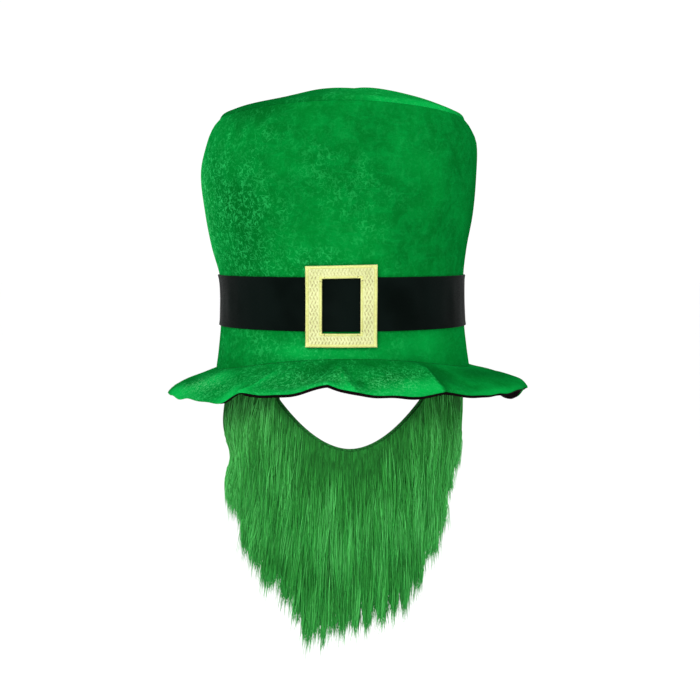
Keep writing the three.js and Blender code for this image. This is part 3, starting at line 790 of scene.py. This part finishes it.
def makeBuckleFrame():
    deselectAll()
    bpy.ops.mesh.primitive_plane_add(size=1, location=(0, 0, 0))
    piece = bpy.context.object
    piece.name = "buckle_pad"
    piece.scale = (buckle["width"] - buckle["padInset"], buckle["height"] - buckle["padInset"], 1)
    bpy.ops.object.transform_apply(location=True, rotation=True, scale=True)
    editAll(piece)
    bpy.ops.mesh.inset(thickness=0.0002)
    bpy.ops.object.mode_set(mode="OBJECT")
    windowX = buckle["width"] / 2 - buckle["sideBar"] - 0.0002
    windowY = buckle["height"] / 2 - buckle["crossBar"] + 0.0001
    for vertex in piece.data.vertices:
        if abs(vertex.co.x) < buckle["width"] / 2 - 0.0004:
            vertex.co.x = math.copysign(windowX, vertex.co.x)
            vertex.co.y = math.copysign(windowY, vertex.co.y)
    middle = min(piece.data.polygons, key=lambda polygon: polygon.center.length)
    for polygon in piece.data.polygons:
        polygon.select = polygon == middle
    bpy.ops.object.mode_set(mode="EDIT")
    bpy.ops.mesh.select_mode(type="FACE")
    bpy.ops.mesh.delete(type="FACE")
    bpy.ops.mesh.select_all(action="SELECT")
    bpy.ops.mesh.subdivide(number_cuts=11)
    bpy.ops.mesh.normals_make_consistent(inside=False)
    bpy.ops.object.mode_set(mode="OBJECT")
    applyModifier(piece, "SOLIDIFY", thickness=buckle["wall"], offset=0)
    applyModifier(piece, "BEVEL", width=0.0007, segments=4, limit_method="ANGLE", angle_limit=math.radians(60))
    points = meshPoints(piece)
    setMeshPoints(piece, bucklePoint(points[:, 0], points[:, 1], points[:, 2] + buckle["wall"] / 2))
    faceOutwards(piece)
    piece.data.materials.append(goldGround)
    finishPiece(piece, "gold_thread", "buckle")


def stitchRow(stitches):
    # each stitch is a low arched bar of thread from one needle hole to another, in the flat drawing
    start = np.array([s[0] for s in stitches])
    end = np.array([s[1] for s in stitches])
    width = np.array([s[2] for s in stitches])
    rise = np.array([s[3] for s in stitches])
    along = end - start
    length = np.linalg.norm(along, axis=1, keepdims=True)
    side = np.stack([-along[:, 1], along[:, 0]], axis=1) / length
    stations = np.array([0.0, 0.12, 0.35, 0.65, 0.88, 1.0])
    arch = np.array([-0.25, 0.35, 1.0, 1.0, 0.35, -0.25])
    girth = np.array([0.45, 0.85, 1.0, 1.0, 0.85, 0.45])
    rings = []
    for share, up, wide in zip(stations, arch, girth):
        for turn in range(6):
            angle = 2 * math.pi * turn / 6
            centre = start + along * share + side * (0.5 * width * wide * math.cos(angle))[:, None]
            lift = buckle["wall"] + rise * up + 0.5 * width * wide * math.sin(angle) * 0.8
            rings.append(np.column_stack([centre, lift]))
    points = np.stack(rings, axis=1)  # stitch, point, xyz
    count, perStitch = points.shape[:2]
    faces = []
    for ring in range(5):
        for turn in range(6):
            nextTurn = (turn + 1) % 6
            here, beside = ring * 6 + turn, ring * 6 + nextTurn
            faces.append((here, beside, beside + 6, here + 6))
    caps = [tuple(range(5, -1, -1)), tuple(range(30, 36))]
    flat = points.reshape(-1, 3)
    return flat, faces, caps, count, perStitch


def joinedMesh(name, points, polygons):
    mesh = bpy.data.meshes.new(name)
    mesh.from_pydata(points.tolist(), [], polygons)
    mesh.update()
    piece = bpy.data.objects.new(name, mesh)
    bpy.context.scene.collection.objects.link(piece)
    return piece


def makeStitches(name, stitches, material):
    flat, faces, caps, count, perStitch = stitchRow(stitches)
    placed = bucklePoint(flat[:, 0], flat[:, 1], flat[:, 2])
    polygons = [tuple(i * perStitch + v for v in face) for i in range(count) for face in faces + caps]
    piece = joinedMesh(name, placed, polygons)
    faceOutwards(piece)
    piece.data.materials.append(material)
    finishPiece(piece, "gold_thread")


def borderStitches(halfX, halfY, inner):
    # satin stitches square to a rectangle's edge, fanned at its corners
    made = []
    reach = buckle["border"] * (0.8 if inner else -1)
    for axis in (0, 1):
        half, cross = (halfX, halfY) if axis == 0 else (halfY, halfX)
        count = int(2 * half / buckle["pitch"])
        for i in range(count + 1):
            place = -half + 2 * half * i / count
            for sign in (-1, 1):
                spread = place + (reach * place / half if abs(place) > half - abs(reach) else 0) * 0.9
                start = (place, sign * cross) if axis == 0 else (sign * cross, place)
                end = (spread, sign * (cross + reach)) if axis == 0 else (sign * (cross + reach), spread)
                made.append((start, end, buckle["thread"], buckle["borderRise"]))
    return made


def fillStitches(lowX, highX, lowY, highY, holeWidth=buckle["holeWidth"]):
    # level threads, cut short where the staggered needle holes come
    made = []
    for i in range(int((highY - lowY) / buckle["pitch"]) + 1):
        y = lowY + buckle["pitch"] * i
        row = round(y / buckle["holeUp"])
        beside = y - row * buckle["holeUp"]
        shift = (row % 2) * buckle["holeAcross"] / 2 + (0.3 if row % 2 else -0.3) * beside
        gap = holeWidth if abs(beside) < buckle["holeHeight"] / 2 else buckle["closeGap"]
        first = math.ceil((lowX - shift) / buckle["holeAcross"] + 0.25)
        last = math.floor((highX - shift) / buckle["holeAcross"] - 0.25)
        cuts = [k * buckle["holeAcross"] + shift for k in range(first, last + 1)]
        ends = [lowX - 0.0002, *[x for x in cuts for x in (x - gap / 2, x + gap / 2)], highX + 0.0002]
        for a, b in zip(ends[0::2], ends[1::2]):
            made.append(((a, y), (b, y), buckle["thread"], buckle["fillRise"]))
    return made


def makeBuckle():
    makeBuckleFrame()
    halfX = buckle["width"] / 2 - buckle["borderInset"]
    halfY = buckle["height"] / 2 - buckle["borderInset"]
    windowX = buckle["width"] / 2 - buckle["sideBar"] - buckle["windowInset"]
    windowY = buckle["height"] / 2 - buckle["crossBar"]
    makeStitches("buckle_outer_border", borderStitches(halfX, halfY, False), paleGold)
    makeStitches("buckle_inner_border", borderStitches(windowX, windowY, True), paleGold)
    inX, inY = windowX + buckle["border"] * 0.8, windowY + buckle["border"] * 0.8
    outX, outY = halfX - buckle["border"], halfY - buckle["border"]
    fills = fillStitches(-outX, -inX, -inY, inY) + fillStitches(inX, outX, -inY, inY)
    fills += fillStitches(-outX, outX, -outY, -inY)
    fills += fillStitches(-outX, outX, inY, outY, buckle["narrowHole"])
    makeStitches("buckle_fill", fills, whiteGold)


makeBuckle()
print("buckle made")


# Beard

beard = {
    "drop": 0.203, "strapRise": 0.028, "strapBearing": 65, "mouthWidth": 0.112, "mouthDepth": 0.053,
    "mouthTop": 0.017, "mouthShift": 0.007, "tuck": 0.009, "backing": 0.0016, "strapGap": 0.0008,
    "furGap": 0.0006, "undercoat": 0.006, "undercoatAtEdge": 0.0016, "overhang": 0.042,
    "coatOverhang": 0.017, "liningGap": 0.002, "pile": 0.054,
    "tipsLower": 0.01,  # a share of the drop
    "edge": 0.0005, "coatWall": 0.001, "coatEdge": 0.0003, "coatLeast": 0.0012,
}
beardOutline = [
    {"bearing": -65, "tips": 0.49},
    {"bearing": -57, "tips": 0.61},
    {"bearing": -50, "tips": 0.7},
    {"bearing": -40, "tips": 0.78},
    {"bearing": -27, "tips": 0.86},
    {"bearing": -16, "tips": 0.98},
    {"bearing": -8, "tips": 1.0},
    {"bearing": 1, "tips": 0.96},
    {"bearing": 10, "tips": 0.96},
    {"bearing": 25, "tips": 0.93},
    {"bearing": 34, "tips": 0.84},
    {"bearing": 46, "tips": 0.7},
    {"bearing": 53, "tips": 0.55},
    {"bearing": 60, "tips": 0.42},
    {"bearing": 65, "tips": 0.35},
]


def beardPoint(bearing, height, outwards):
    below = np.maximum(0, rimHeight(bearing) - height)
    tuck = beard["tuck"] * (below / beard["drop"]) ** 1.5
    return crownPointAt(bearing, height, outwards - hat["crownWall"] - beard["strapGap"] - tuck)


# The hair hangs in steps: from each bearing on, its tips reach this share of the drop.
tipSteps = [
    {"from": -70, "tips": 0.485}, {"from": -60, "tips": 0.515}, {"from": -54, "tips": 0.53},
    {"from": -48, "tips": 0.67}, {"from": -44, "tips": 0.715}, {"from": -40.5, "tips": 0.75},
    {"from": -37, "tips": 0.79}, {"from": -31.5, "tips": 0.82}, {"from": -27, "tips": 0.86},
    {"from": -23, "tips": 0.91}, {"from": -19, "tips": 1.0}, {"from": -13.5, "tips": 0.97},
    {"from": -10.5, "tips": 1.01},
    {"from": -5, "tips": 0.955}, {"from": 1, "tips": 0.97}, {"from": 4.5, "tips": 0.955},
    {"from": 8, "tips": 0.94}, {"from": 12, "tips": 0.91}, {"from": 19, "tips": 0.89},
    {"from": 24, "tips": 0.90}, {"from": 28, "tips": 0.875}, {"from": 31.5, "tips": 0.825},
    {"from": 34, "tips": 0.805}, {"from": 37, "tips": 0.68}, {"from": 43.5, "tips": 0.65},
    {"from": 47.5, "tips": 0.59}, {"from": 50.5, "tips": 0.44}, {"from": 54, "tips": 0.37},
    {"from": 60, "tips": 0.32}, {"from": 65, "tips": 0.25},
]

# Where the hair's ends gather in pointed tufts, unevenly spaced along the outline.
tuftRow = {"first": -68, "least": 3.2, "most": 6.6, "count": 29, "seed": 7}
tuftSteps = np.random.default_rng(tuftRow["seed"]).uniform(tuftRow["least"], tuftRow["most"], tuftRow["count"])
tuftBearings = tuftRow["first"] + np.cumsum(tuftSteps)


def tipLine(bearing):
    return -beard["drop"] * readTable(beardOutline, "bearing", bearing, "tips")


def steppedTips(bearing):
    tips = np.full(np.shape(bearing), tipSteps[0]["tips"])
    for before, step in zip(tipSteps, tipSteps[1:]):
        tips += (step["tips"] - before["tips"]) * smoothStep(bearing, step["from"] - 0.4, step["from"] + 0.4)
    return -beard["drop"] * (tips + beard["tipsLower"])


# Where the fur is painted lighter or darker: painted light near the top under the brim's shadow and on the sides,
# painted shade under the mouth cut, and darker tone lower down.
furToneAndPaintedLight = [
    {"bearing": -48, "at": -0.008, "wide": 20, "tall": 0.018, "tone": 0.8},
    {"bearing": 50, "at": -0.008, "wide": 18, "tall": 0.014, "tone": 0.42},
    {"bearing": 3, "at": -0.060, "wide": 24, "tall": 0.010, "tone": -0.6},
    {"bearing": 3, "at": -0.080, "wide": 20, "tall": 0.014, "tone": -0.1},
    {"bearing": -58, "at": -0.09, "wide": 12, "tall": 0.05, "tone": 0.38},
    {"bearing": 52, "at": -0.09, "wide": 14, "tall": 0.05, "tone": 0.30},
    {"bearing": -30, "at": -0.142, "wide": 9, "tall": 0.010, "tone": -0.35},
    {"bearing": -12, "at": -0.15, "wide": 10, "tall": 0.010, "tone": -0.2},
    {"bearing": 25, "at": -0.14, "wide": 8, "tall": 0.015, "tone": -0.2},
    {"bearing": 0, "at": -0.16, "wide": 22, "tall": 0.02, "tone": -0.12},
]
# How far hair leans towards +X for each metre that it falls, near the straps.
hairLean = [
    {"bearing": -66, "lean": 0.10, "lowLean": -0.11}, {"bearing": -55, "lean": 0.06, "lowLean": -0.13},
    {"bearing": -35, "lean": 0.0, "lowLean": -0.15}, {"bearing": -15, "lean": 0.0, "lowLean": -0.08},
    {"bearing": 0, "lean": 0.0, "lowLean": -0.03}, {"bearing": 25, "lean": -0.03, "lowLean": -0.02},
    {"bearing": 40, "lean": -0.10, "lowLean": -0.02}, {"bearing": 55, "lean": -0.22, "lowLean": -0.02},
    {"bearing": 66, "lean": -0.28, "lowLean": 0.0},
]


def hemLine(bearing):
    return tipLine(bearing) + beard["overhang"]


def backingTop(bearing):
    across = np.abs(crownPoint(bearing, 0.0)[..., 0] - beard["mouthShift"]) / (beard["mouthWidth"] / 2)
    cut = -beard["mouthDepth"] + (beard["mouthDepth"] - beard["mouthTop"]) * across**1.9
    steep = beard["strapRise"] / 0.08
    return np.minimum(rimHeight(bearing) + beard["strapRise"], cut + steep * np.maximum(0, across - 1))


def furTop(bearing):
    under = rimHeight(bearing) - 2 * hat["gap"] - hat["brimWall"] - hat["liningWall"]
    return np.minimum(backingTop(bearing) - hat["gap"], under - beard["liningGap"])


def coatDepth(bearing, height):
    below = furTop(bearing) - height
    grown = smoothStep(below, 0, 0.7 * beard["pile"])
    return beard["undercoatAtEdge"] + (beard["undercoat"] - beard["undercoatAtEdge"]) * grown


recess = {"depth": 0.013, "at": -0.064, "tall": 0.013, "flatter": 0.6}


def leftHollow(height):
    # how far the beard's left outline draws in at a small recess
    return recess["depth"] * np.exp(-(((height - recess["at"]) / recess["tall"]) ** 2))


def drawnPanel(name, columns, rows):
    deselectAll()
    bpy.ops.mesh.primitive_grid_add(x_subdivisions=columns, y_subdivisions=rows, size=1, location=(0, 0, 0))
    piece = bpy.context.object
    piece.name = name
    return piece


def facePanelForwards(piece):
    faceOutwards(piece)
    if piece.data.polygons[len(piece.data.polygons) // 2].normal.y > 0:
        faceOutwards(piece, inside=True)


def makeBacking():
    piece = drawnPanel("beard_cloth", 130, 40)
    points = meshPoints(piece)
    bearing = points[:, 0] * 2 * beard["strapBearing"]
    share = points[:, 1] + 0.5
    top = backingTop(bearing)
    height = hemLine(bearing) + share * (top - hemLine(bearing))
    setMeshPoints(piece, beardPoint(bearing, height, 0.0))
    facePanelForwards(piece)
    piece.data.materials.append(greenKnit)
    giveThickness(piece, beard["backing"], beard["edge"])
    finishPiece(piece, "knit_back", "beard_backing")


def makeUndercoat():
    piece = drawnPanel("beard_undercoat", 130, 40)
    points = meshPoints(piece)
    bearing = points[:, 0] * 2 * (beard["strapBearing"] - 1.2)
    share = points[:, 1] + 0.5
    top, low = furTop(bearing) - 0.001, hemLine(bearing) - beard["coatOverhang"] * 0.6
    height = low + share * (top - low)
    ragged = 0.002 * np.sin(bearing * 2.1) + 0.0015 * np.sin(bearing * 4.7 + 1)
    height += ragged * (1 - share) ** 3
    drawnIn = np.degrees(leftHollow(height) / (hat["crownDepth"] / 2))
    bearing = bearing + drawnIn * smoothStep(bearing, -40, -beard["strapBearing"])
    depth = coatDepth(bearing, height) * smoothStep(height - low, -0.002, 0.02)
    setMeshPoints(piece, beardPoint(bearing, height, beard["furGap"] + np.maximum(depth, beard["coatLeast"])))
    facePanelForwards(piece)
    piece.data.materials.append(coatGreen)
    giveThickness(piece, beard["coatWall"], beard["coatEdge"])
    finishPiece(piece, "pile")


# One layer of hair for each row: how many, how long, how wide, and how strongly they gather in locks.
# A layer's "tone" is darker the deeper it lies under the others, a painted shade.
hairLayers = [
    {"name": "beard_fur_deep", "count": 6900, "length": 0.048, "width": 0.00064, "gather": 0.45,
     "lift": 0.002, "lock": 0.009, "point": 2.6, "tone": 0.33, "seed": 31},
    {"name": "beard_fur_long", "count": 7000, "length": 0.054, "width": 0.00054, "gather": 0.70,
     "lift": 0.0045, "lock": 0.0075, "point": 2.5, "tone": 0.45, "seed": 32},
    {"name": "beard_fur_top", "count": 7000, "length": 0.052, "width": 0.00046, "gather": 0.62,
     "lift": 0.0065, "lock": 0.0058, "point": 2.6, "tone": 0.53, "seed": 33},
    {"name": "beard_fur_loose", "count": 2600, "length": 0.048, "width": 0.00036, "gather": 0.15,
     "lift": 0.0075, "lock": 0.012, "point": 2.0, "tone": 0.66, "seed": 14},
]
hairSteps = 6
# How single hairs vary, in metres, in shares and in tones.
hairForm = {
    "strayShare": 0.15, "strayLeast": 0.002, "strayMost": 0.014, "shortest": 0.006, "unevenEnds": 0.0012,
    "lockSway": 0.0020, "hairSway": 0.0008, "lockTone": 0.17, "hairTone": 0.20, "toPoint": 0.6,
    "flare": 0.0028, "strapSpread": 0.019, "wave": 0.0004,
}


def scatterRoots(rng, count, lowest=-0.004):
    # roots spread evenly over the cloth, from the fur's upper edge down to the hem
    bearing, height = np.empty(0), np.empty(0)
    while len(bearing) < count:
        b = rng.uniform(-beard["strapBearing"] + 1, beard["strapBearing"] - 1, count * 2)
        h = rng.uniform(-beard["drop"], 0.004, count * 2)
        kept = (h < furTop(b) - 0.0006) & (h > hemLine(b) + lowest)
        bearing, height = np.append(bearing, b[kept]), np.append(height, h[kept])
    return bearing[:count], height[:count]


def growHair(layer):
    rng = np.random.default_rng(layer["seed"])
    count = layer["count"]
    radius = hat["crownDepth"] / 2
    bearing, height = scatterRoots(rng, count)
    across = np.radians(bearing) * radius
    # each hair joins the nearest lock, and a lock's hairs end together
    lockCount = int(0.020 / (layer["lock"] * layer["lock"] * 2.2))
    lockBearing, lockHeight = scatterRoots(rng, lockCount, -0.008)
    lockAcross = np.radians(lockBearing) * radius
    nearest = np.empty(count, int)
    for start in range(0, count, 2000):
        part = slice(start, start + 2000)
        away = ((across[part, None] - lockAcross) ** 2 + ((height[part, None] - lockHeight) / 1.9) ** 2)
        nearest[part] = np.argmin(away, axis=1)
    lockLength = layer["length"] * rng.uniform(0.86, 1.12, lockCount)
    lockSway = rng.normal(0, hairForm["lockSway"], lockCount)
    lockTone = rng.normal(0, hairForm["lockTone"], lockCount)
    length = lockLength[nearest] * rng.uniform(0.8, 1.06, count)
    # no hair passes the beard's stepped outline, apart from a few thin ends
    stray = np.where(rng.random(count) < hairForm["strayShare"],
                     rng.uniform(hairForm["strayLeast"], hairForm["strayMost"], count), 0)
    nearStrap = smoothStep(height, -0.09, -0.03)
    lean = (readTable(hairLean, "bearing", bearing, "lean") * nearStrap
            + readTable(hairLean, "bearing", bearing, "lowLean") * (1 - nearStrap)) * length
    tipAcross = across + 0.5 * layer["gather"] * (lockAcross[nearest] - across)
    tipAcross += np.minimum(lean, 0) * smoothStep(bearing, 10, -10)
    tufts = np.radians(tuftBearings) * radius
    tuft = np.argmin(np.abs(tipAcross[:, None] - tufts), axis=1)
    toTuft = tufts[tuft] - tipAcross
    uneven = rng.normal(0, hairForm["unevenEnds"], count)
    room = height - steppedTips(tuftBearings[tuft]) + uneven + stray
    room -= layer["point"] * np.abs(toTuft)
    shortened = np.minimum(length + stray, np.maximum(room, hairForm["shortest"]))
    atEdge = smoothStep(length - shortened, 0.0, 0.01)
    t = np.linspace(0, 1, hairSteps)
    gather = (layer["gather"] * (1 - 0.5 * atEdge))[:, None] * t[None, :] ** 1.3
    toPoint = (hairForm["toPoint"] * toTuft * atEdge)[:, None] * t[None, :] ** 1.3
    hairSway = rng.normal(0, hairForm["hairSway"], count)
    drift = lockSway[nearest][:, None] * t**1.6 + hairSway[:, None] * t**2
    lean *= shortened / length
    flare = hairForm["flare"] * np.sin(np.radians(bearing)) * (1 - nearStrap) * np.abs(np.sin(np.radians(bearing)))
    spread = hairForm["strapSpread"] * smoothStep(bearing, 46, 63) * smoothStep(height, -0.032, -0.012)
    turns, phase = rng.uniform(5, 10, count), rng.uniform(0, 6.3, count)
    wave = hairForm["wave"] * np.sin(t[None, :] * turns[:, None] + phase[:, None]) * t
    hairAcross = (across + spread)[:, None] + (lockAcross[nearest] - across)[:, None] * gather
    hairAcross = hairAcross + toPoint + drift + wave + lean[:, None] * t + flare[:, None] * t**2
    limit = np.radians(beard["strapBearing"]) * radius
    hairHeight = height[:, None] - shortened[:, None] * t
    hairAcross = np.clip(hairAcross, -limit - 0.002 + leftHollow(hairHeight), limit + hairForm["strapSpread"])
    hairBearing = np.degrees(hairAcross / radius)
    coat = coatDepth(bearing, height)[:, None] * rng.uniform(0.15, 0.95, count)[:, None]
    grown = smoothStep(furTop(bearing) - height, 0, 0.03)[:, None]
    lift = (0.25 + 0.75 * grown) * layer["lift"] * rng.uniform(0.5, 1.15, count)[:, None]
    hanging = coatDepth(bearing[:, None], hairHeight)
    lifted = lift * np.sin(np.pi * np.minimum(t, 0.62))
    outwards = beard["furGap"] + coat * (1 - t) + hanging * t * 0.85 + lifted + 0.0003
    edge = smoothStep(beard["strapBearing"] - np.abs(hairBearing), -4, 11)
    outwards = outwards * (0.35 + 0.65 * edge)
    flatter = recess["flatter"] * leftHollow(hairHeight) / recess["depth"]
    outwards = outwards * (1 - flatter * smoothStep(hairBearing, -42, -58))
    line = beardPoint(hairBearing, hairHeight, outwards)
    tone = layer["tone"] + lockTone[nearest] + rng.normal(0, hairForm["hairTone"], count)
    # the marks paint light and shade onto the hair
    tone = tone[:, None] + softMarks(furToneAndPaintedLight, hairBearing, hairHeight)
    return line, np.clip(tone, 0, 1), rng


def hairMesh(name, line, tone, width, rng):
    # a three-sided strand along each line, tapering to a point
    count, steps = line.shape[:2]
    along = np.gradient(line, axis=1)
    along /= np.linalg.norm(along, axis=-1, keepdims=True)
    out = line * np.array([1, 1, 0])
    out /= np.linalg.norm(out, axis=-1, keepdims=True)
    side = np.cross(along, out)
    side /= np.linalg.norm(side, axis=-1, keepdims=True)
    out = np.cross(side, along)
    t = np.linspace(0, 1, steps)[:-1]
    radius = 0.5 * width * (0.75 + 0.25 * np.minimum(t * 4, 1)) * (1 - t**2.2 * 0.7)
    radius = radius[None, :, None] * rng.uniform(0.75, 1.25, count)[:, None, None]
    spin = rng.uniform(0, 2 * math.pi, count)
    corners = []
    for turn in range(3):
        angle = (spin + 2 * math.pi * turn / 3)[:, None, None]
        corners.append(line[:, :-1] + radius * (side[:, :-1] * np.cos(angle) + out[:, :-1] * np.sin(angle)))
    rings = np.stack(corners, axis=2).reshape(count, -1, 3)
    points = np.concatenate([rings, line[:, -1:]], axis=1)
    perHair = points.shape[1]
    quads = np.array([[r * 3 + k, r * 3 + (k + 1) % 3, r * 3 + 3 + (k + 1) % 3, r * 3 + 3 + k]
                      for r in range(steps - 2) for k in range(3)])
    last = (steps - 2) * 3
    triangles = np.array([[last + k, last + (k + 1) % 3, perHair - 1] for k in range(3)] + [[2, 1, 0]])
    offset = (np.arange(count) * perHair)[:, None, None]
    quadLoops = (quads[None] + offset).reshape(-1)
    triangleLoops = (triangles[None] + offset).reshape(-1)
    quadCount, triangleCount = len(quads) * count, len(triangles) * count
    mesh = bpy.data.meshes.new(name)
    mesh.vertices.add(count * perHair)
    mesh.vertices.foreach_set("co", points.astype(np.float32).ravel())
    mesh.loops.add(len(quadLoops) + len(triangleLoops))
    mesh.loops.foreach_set("vertex_index", np.concatenate([quadLoops, triangleLoops]).astype(np.int32))
    mesh.polygons.add(quadCount + triangleCount)
    starts = np.concatenate([np.arange(quadCount) * 4, len(quadLoops) + np.arange(triangleCount) * 3])
    mesh.polygons.foreach_set("loop_start", starts.astype(np.int32))
    mesh.update(calc_edges=True)
    mesh.validate()
    toneAtPoints = np.concatenate([np.repeat(tone[:, :-1], 3, axis=1), tone[:, -1:]], axis=1)
    for label, values in (("tone", toneAtPoints.ravel()),
                          ("along", np.tile(np.append(np.repeat(t, 3), 1.0), count))):
        attribute = mesh.attributes.new(label, "FLOAT", "POINT")
        attribute.data.foreach_set("value", values.astype(np.float32))
    piece = bpy.data.objects.new(name, mesh)
    bpy.context.scene.collection.objects.link(piece)
    return piece


def makeFur():
    makeUndercoat()
    for layer in hairLayers:
        line, tone, rng = growHair(layer)
        piece = hairMesh(layer["name"], line, tone, layer["width"], rng)
        piece.data.materials.append(furGreen)
        selectOnly(piece)
        bpy.ops.object.shade_smooth()
        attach(piece, "root")
        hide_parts("beard_fur")


makeBacking()
makeFur()
print("beard made")


# Room, light and camera

room = {"floor": -0.75, "floorSize": 60.0, "paper": (0.97, 0.97, 0.97), "worldStrength": 1.04}
lamps = [
    {"name": "keyLight", "place": (-1.0, -2.1, 1.15), "size": 1.1, "power": 43, "colour": (1.0, 0.99, 0.97)},
    {"name": "fillLight", "place": (1.7, -1.5, 0.5), "size": 1.6, "power": 9, "colour": (0.98, 0.99, 1.0)},
    {"name": "lowLight", "place": (-0.3, -2.2, -0.6), "size": 1.6, "power": 7, "colour": (1.0, 1.0, 1.0)},
    {"name": "topLight", "place": (0.3, 0.4, 2.0), "size": 1.4, "power": 14, "colour": (1.0, 1.0, 1.0)},
]
view = {"place": (0.0064, -1.10, 0.097), "pitch": 4.37, "lens": 70.7}


def makeRoom():
    deselectAll()
    bpy.ops.mesh.primitive_plane_add(size=room["floorSize"], location=(0, 0, room["floor"]))
    floor = bpy.context.object
    floor.name = "floor"
    bpy.ops.object.transform_apply(location=True, rotation=True, scale=True)
    material = newMaterial("palePaper", **{
        "Base Color": (*room["paper"], 1), "Roughness": 0.8, "Specular IOR Level": 0.2})[0]
    floor.data.materials.append(material)
    world = bpy.data.worlds.new("softRoom")
    world.use_nodes = True
    background = world.node_tree.nodes["Background"]
    background.inputs["Color"].default_value = (1, 1, 1, 1)
    background.inputs["Strength"].default_value = room["worldStrength"]
    bpy.context.scene.world = world
    for lamp in lamps:
        bpy.ops.object.light_add(type="AREA", location=lamp["place"])
        light = bpy.context.object
        light.name = lamp["name"]
        light.data.size = lamp["size"]
        light.data.energy = lamp["power"]
        light.data.color = lamp["colour"]
        aim = -light.location
        light.rotation_euler = aim.to_track_quat("-Z", "Y").to_euler()


def makeCamera():
    bpy.ops.object.camera_add(location=view["place"], rotation=(math.radians(90 - view["pitch"]), 0, 0))
    camera = bpy.context.object
    camera.data.lens = view["lens"]
    camera.data.sensor_width = 36
    bpy.context.scene.camera = camera


makeRoom()
makeCamera()
bpy.context.scene.view_settings.view_transform = "Standard"
print("room, light and camera made")
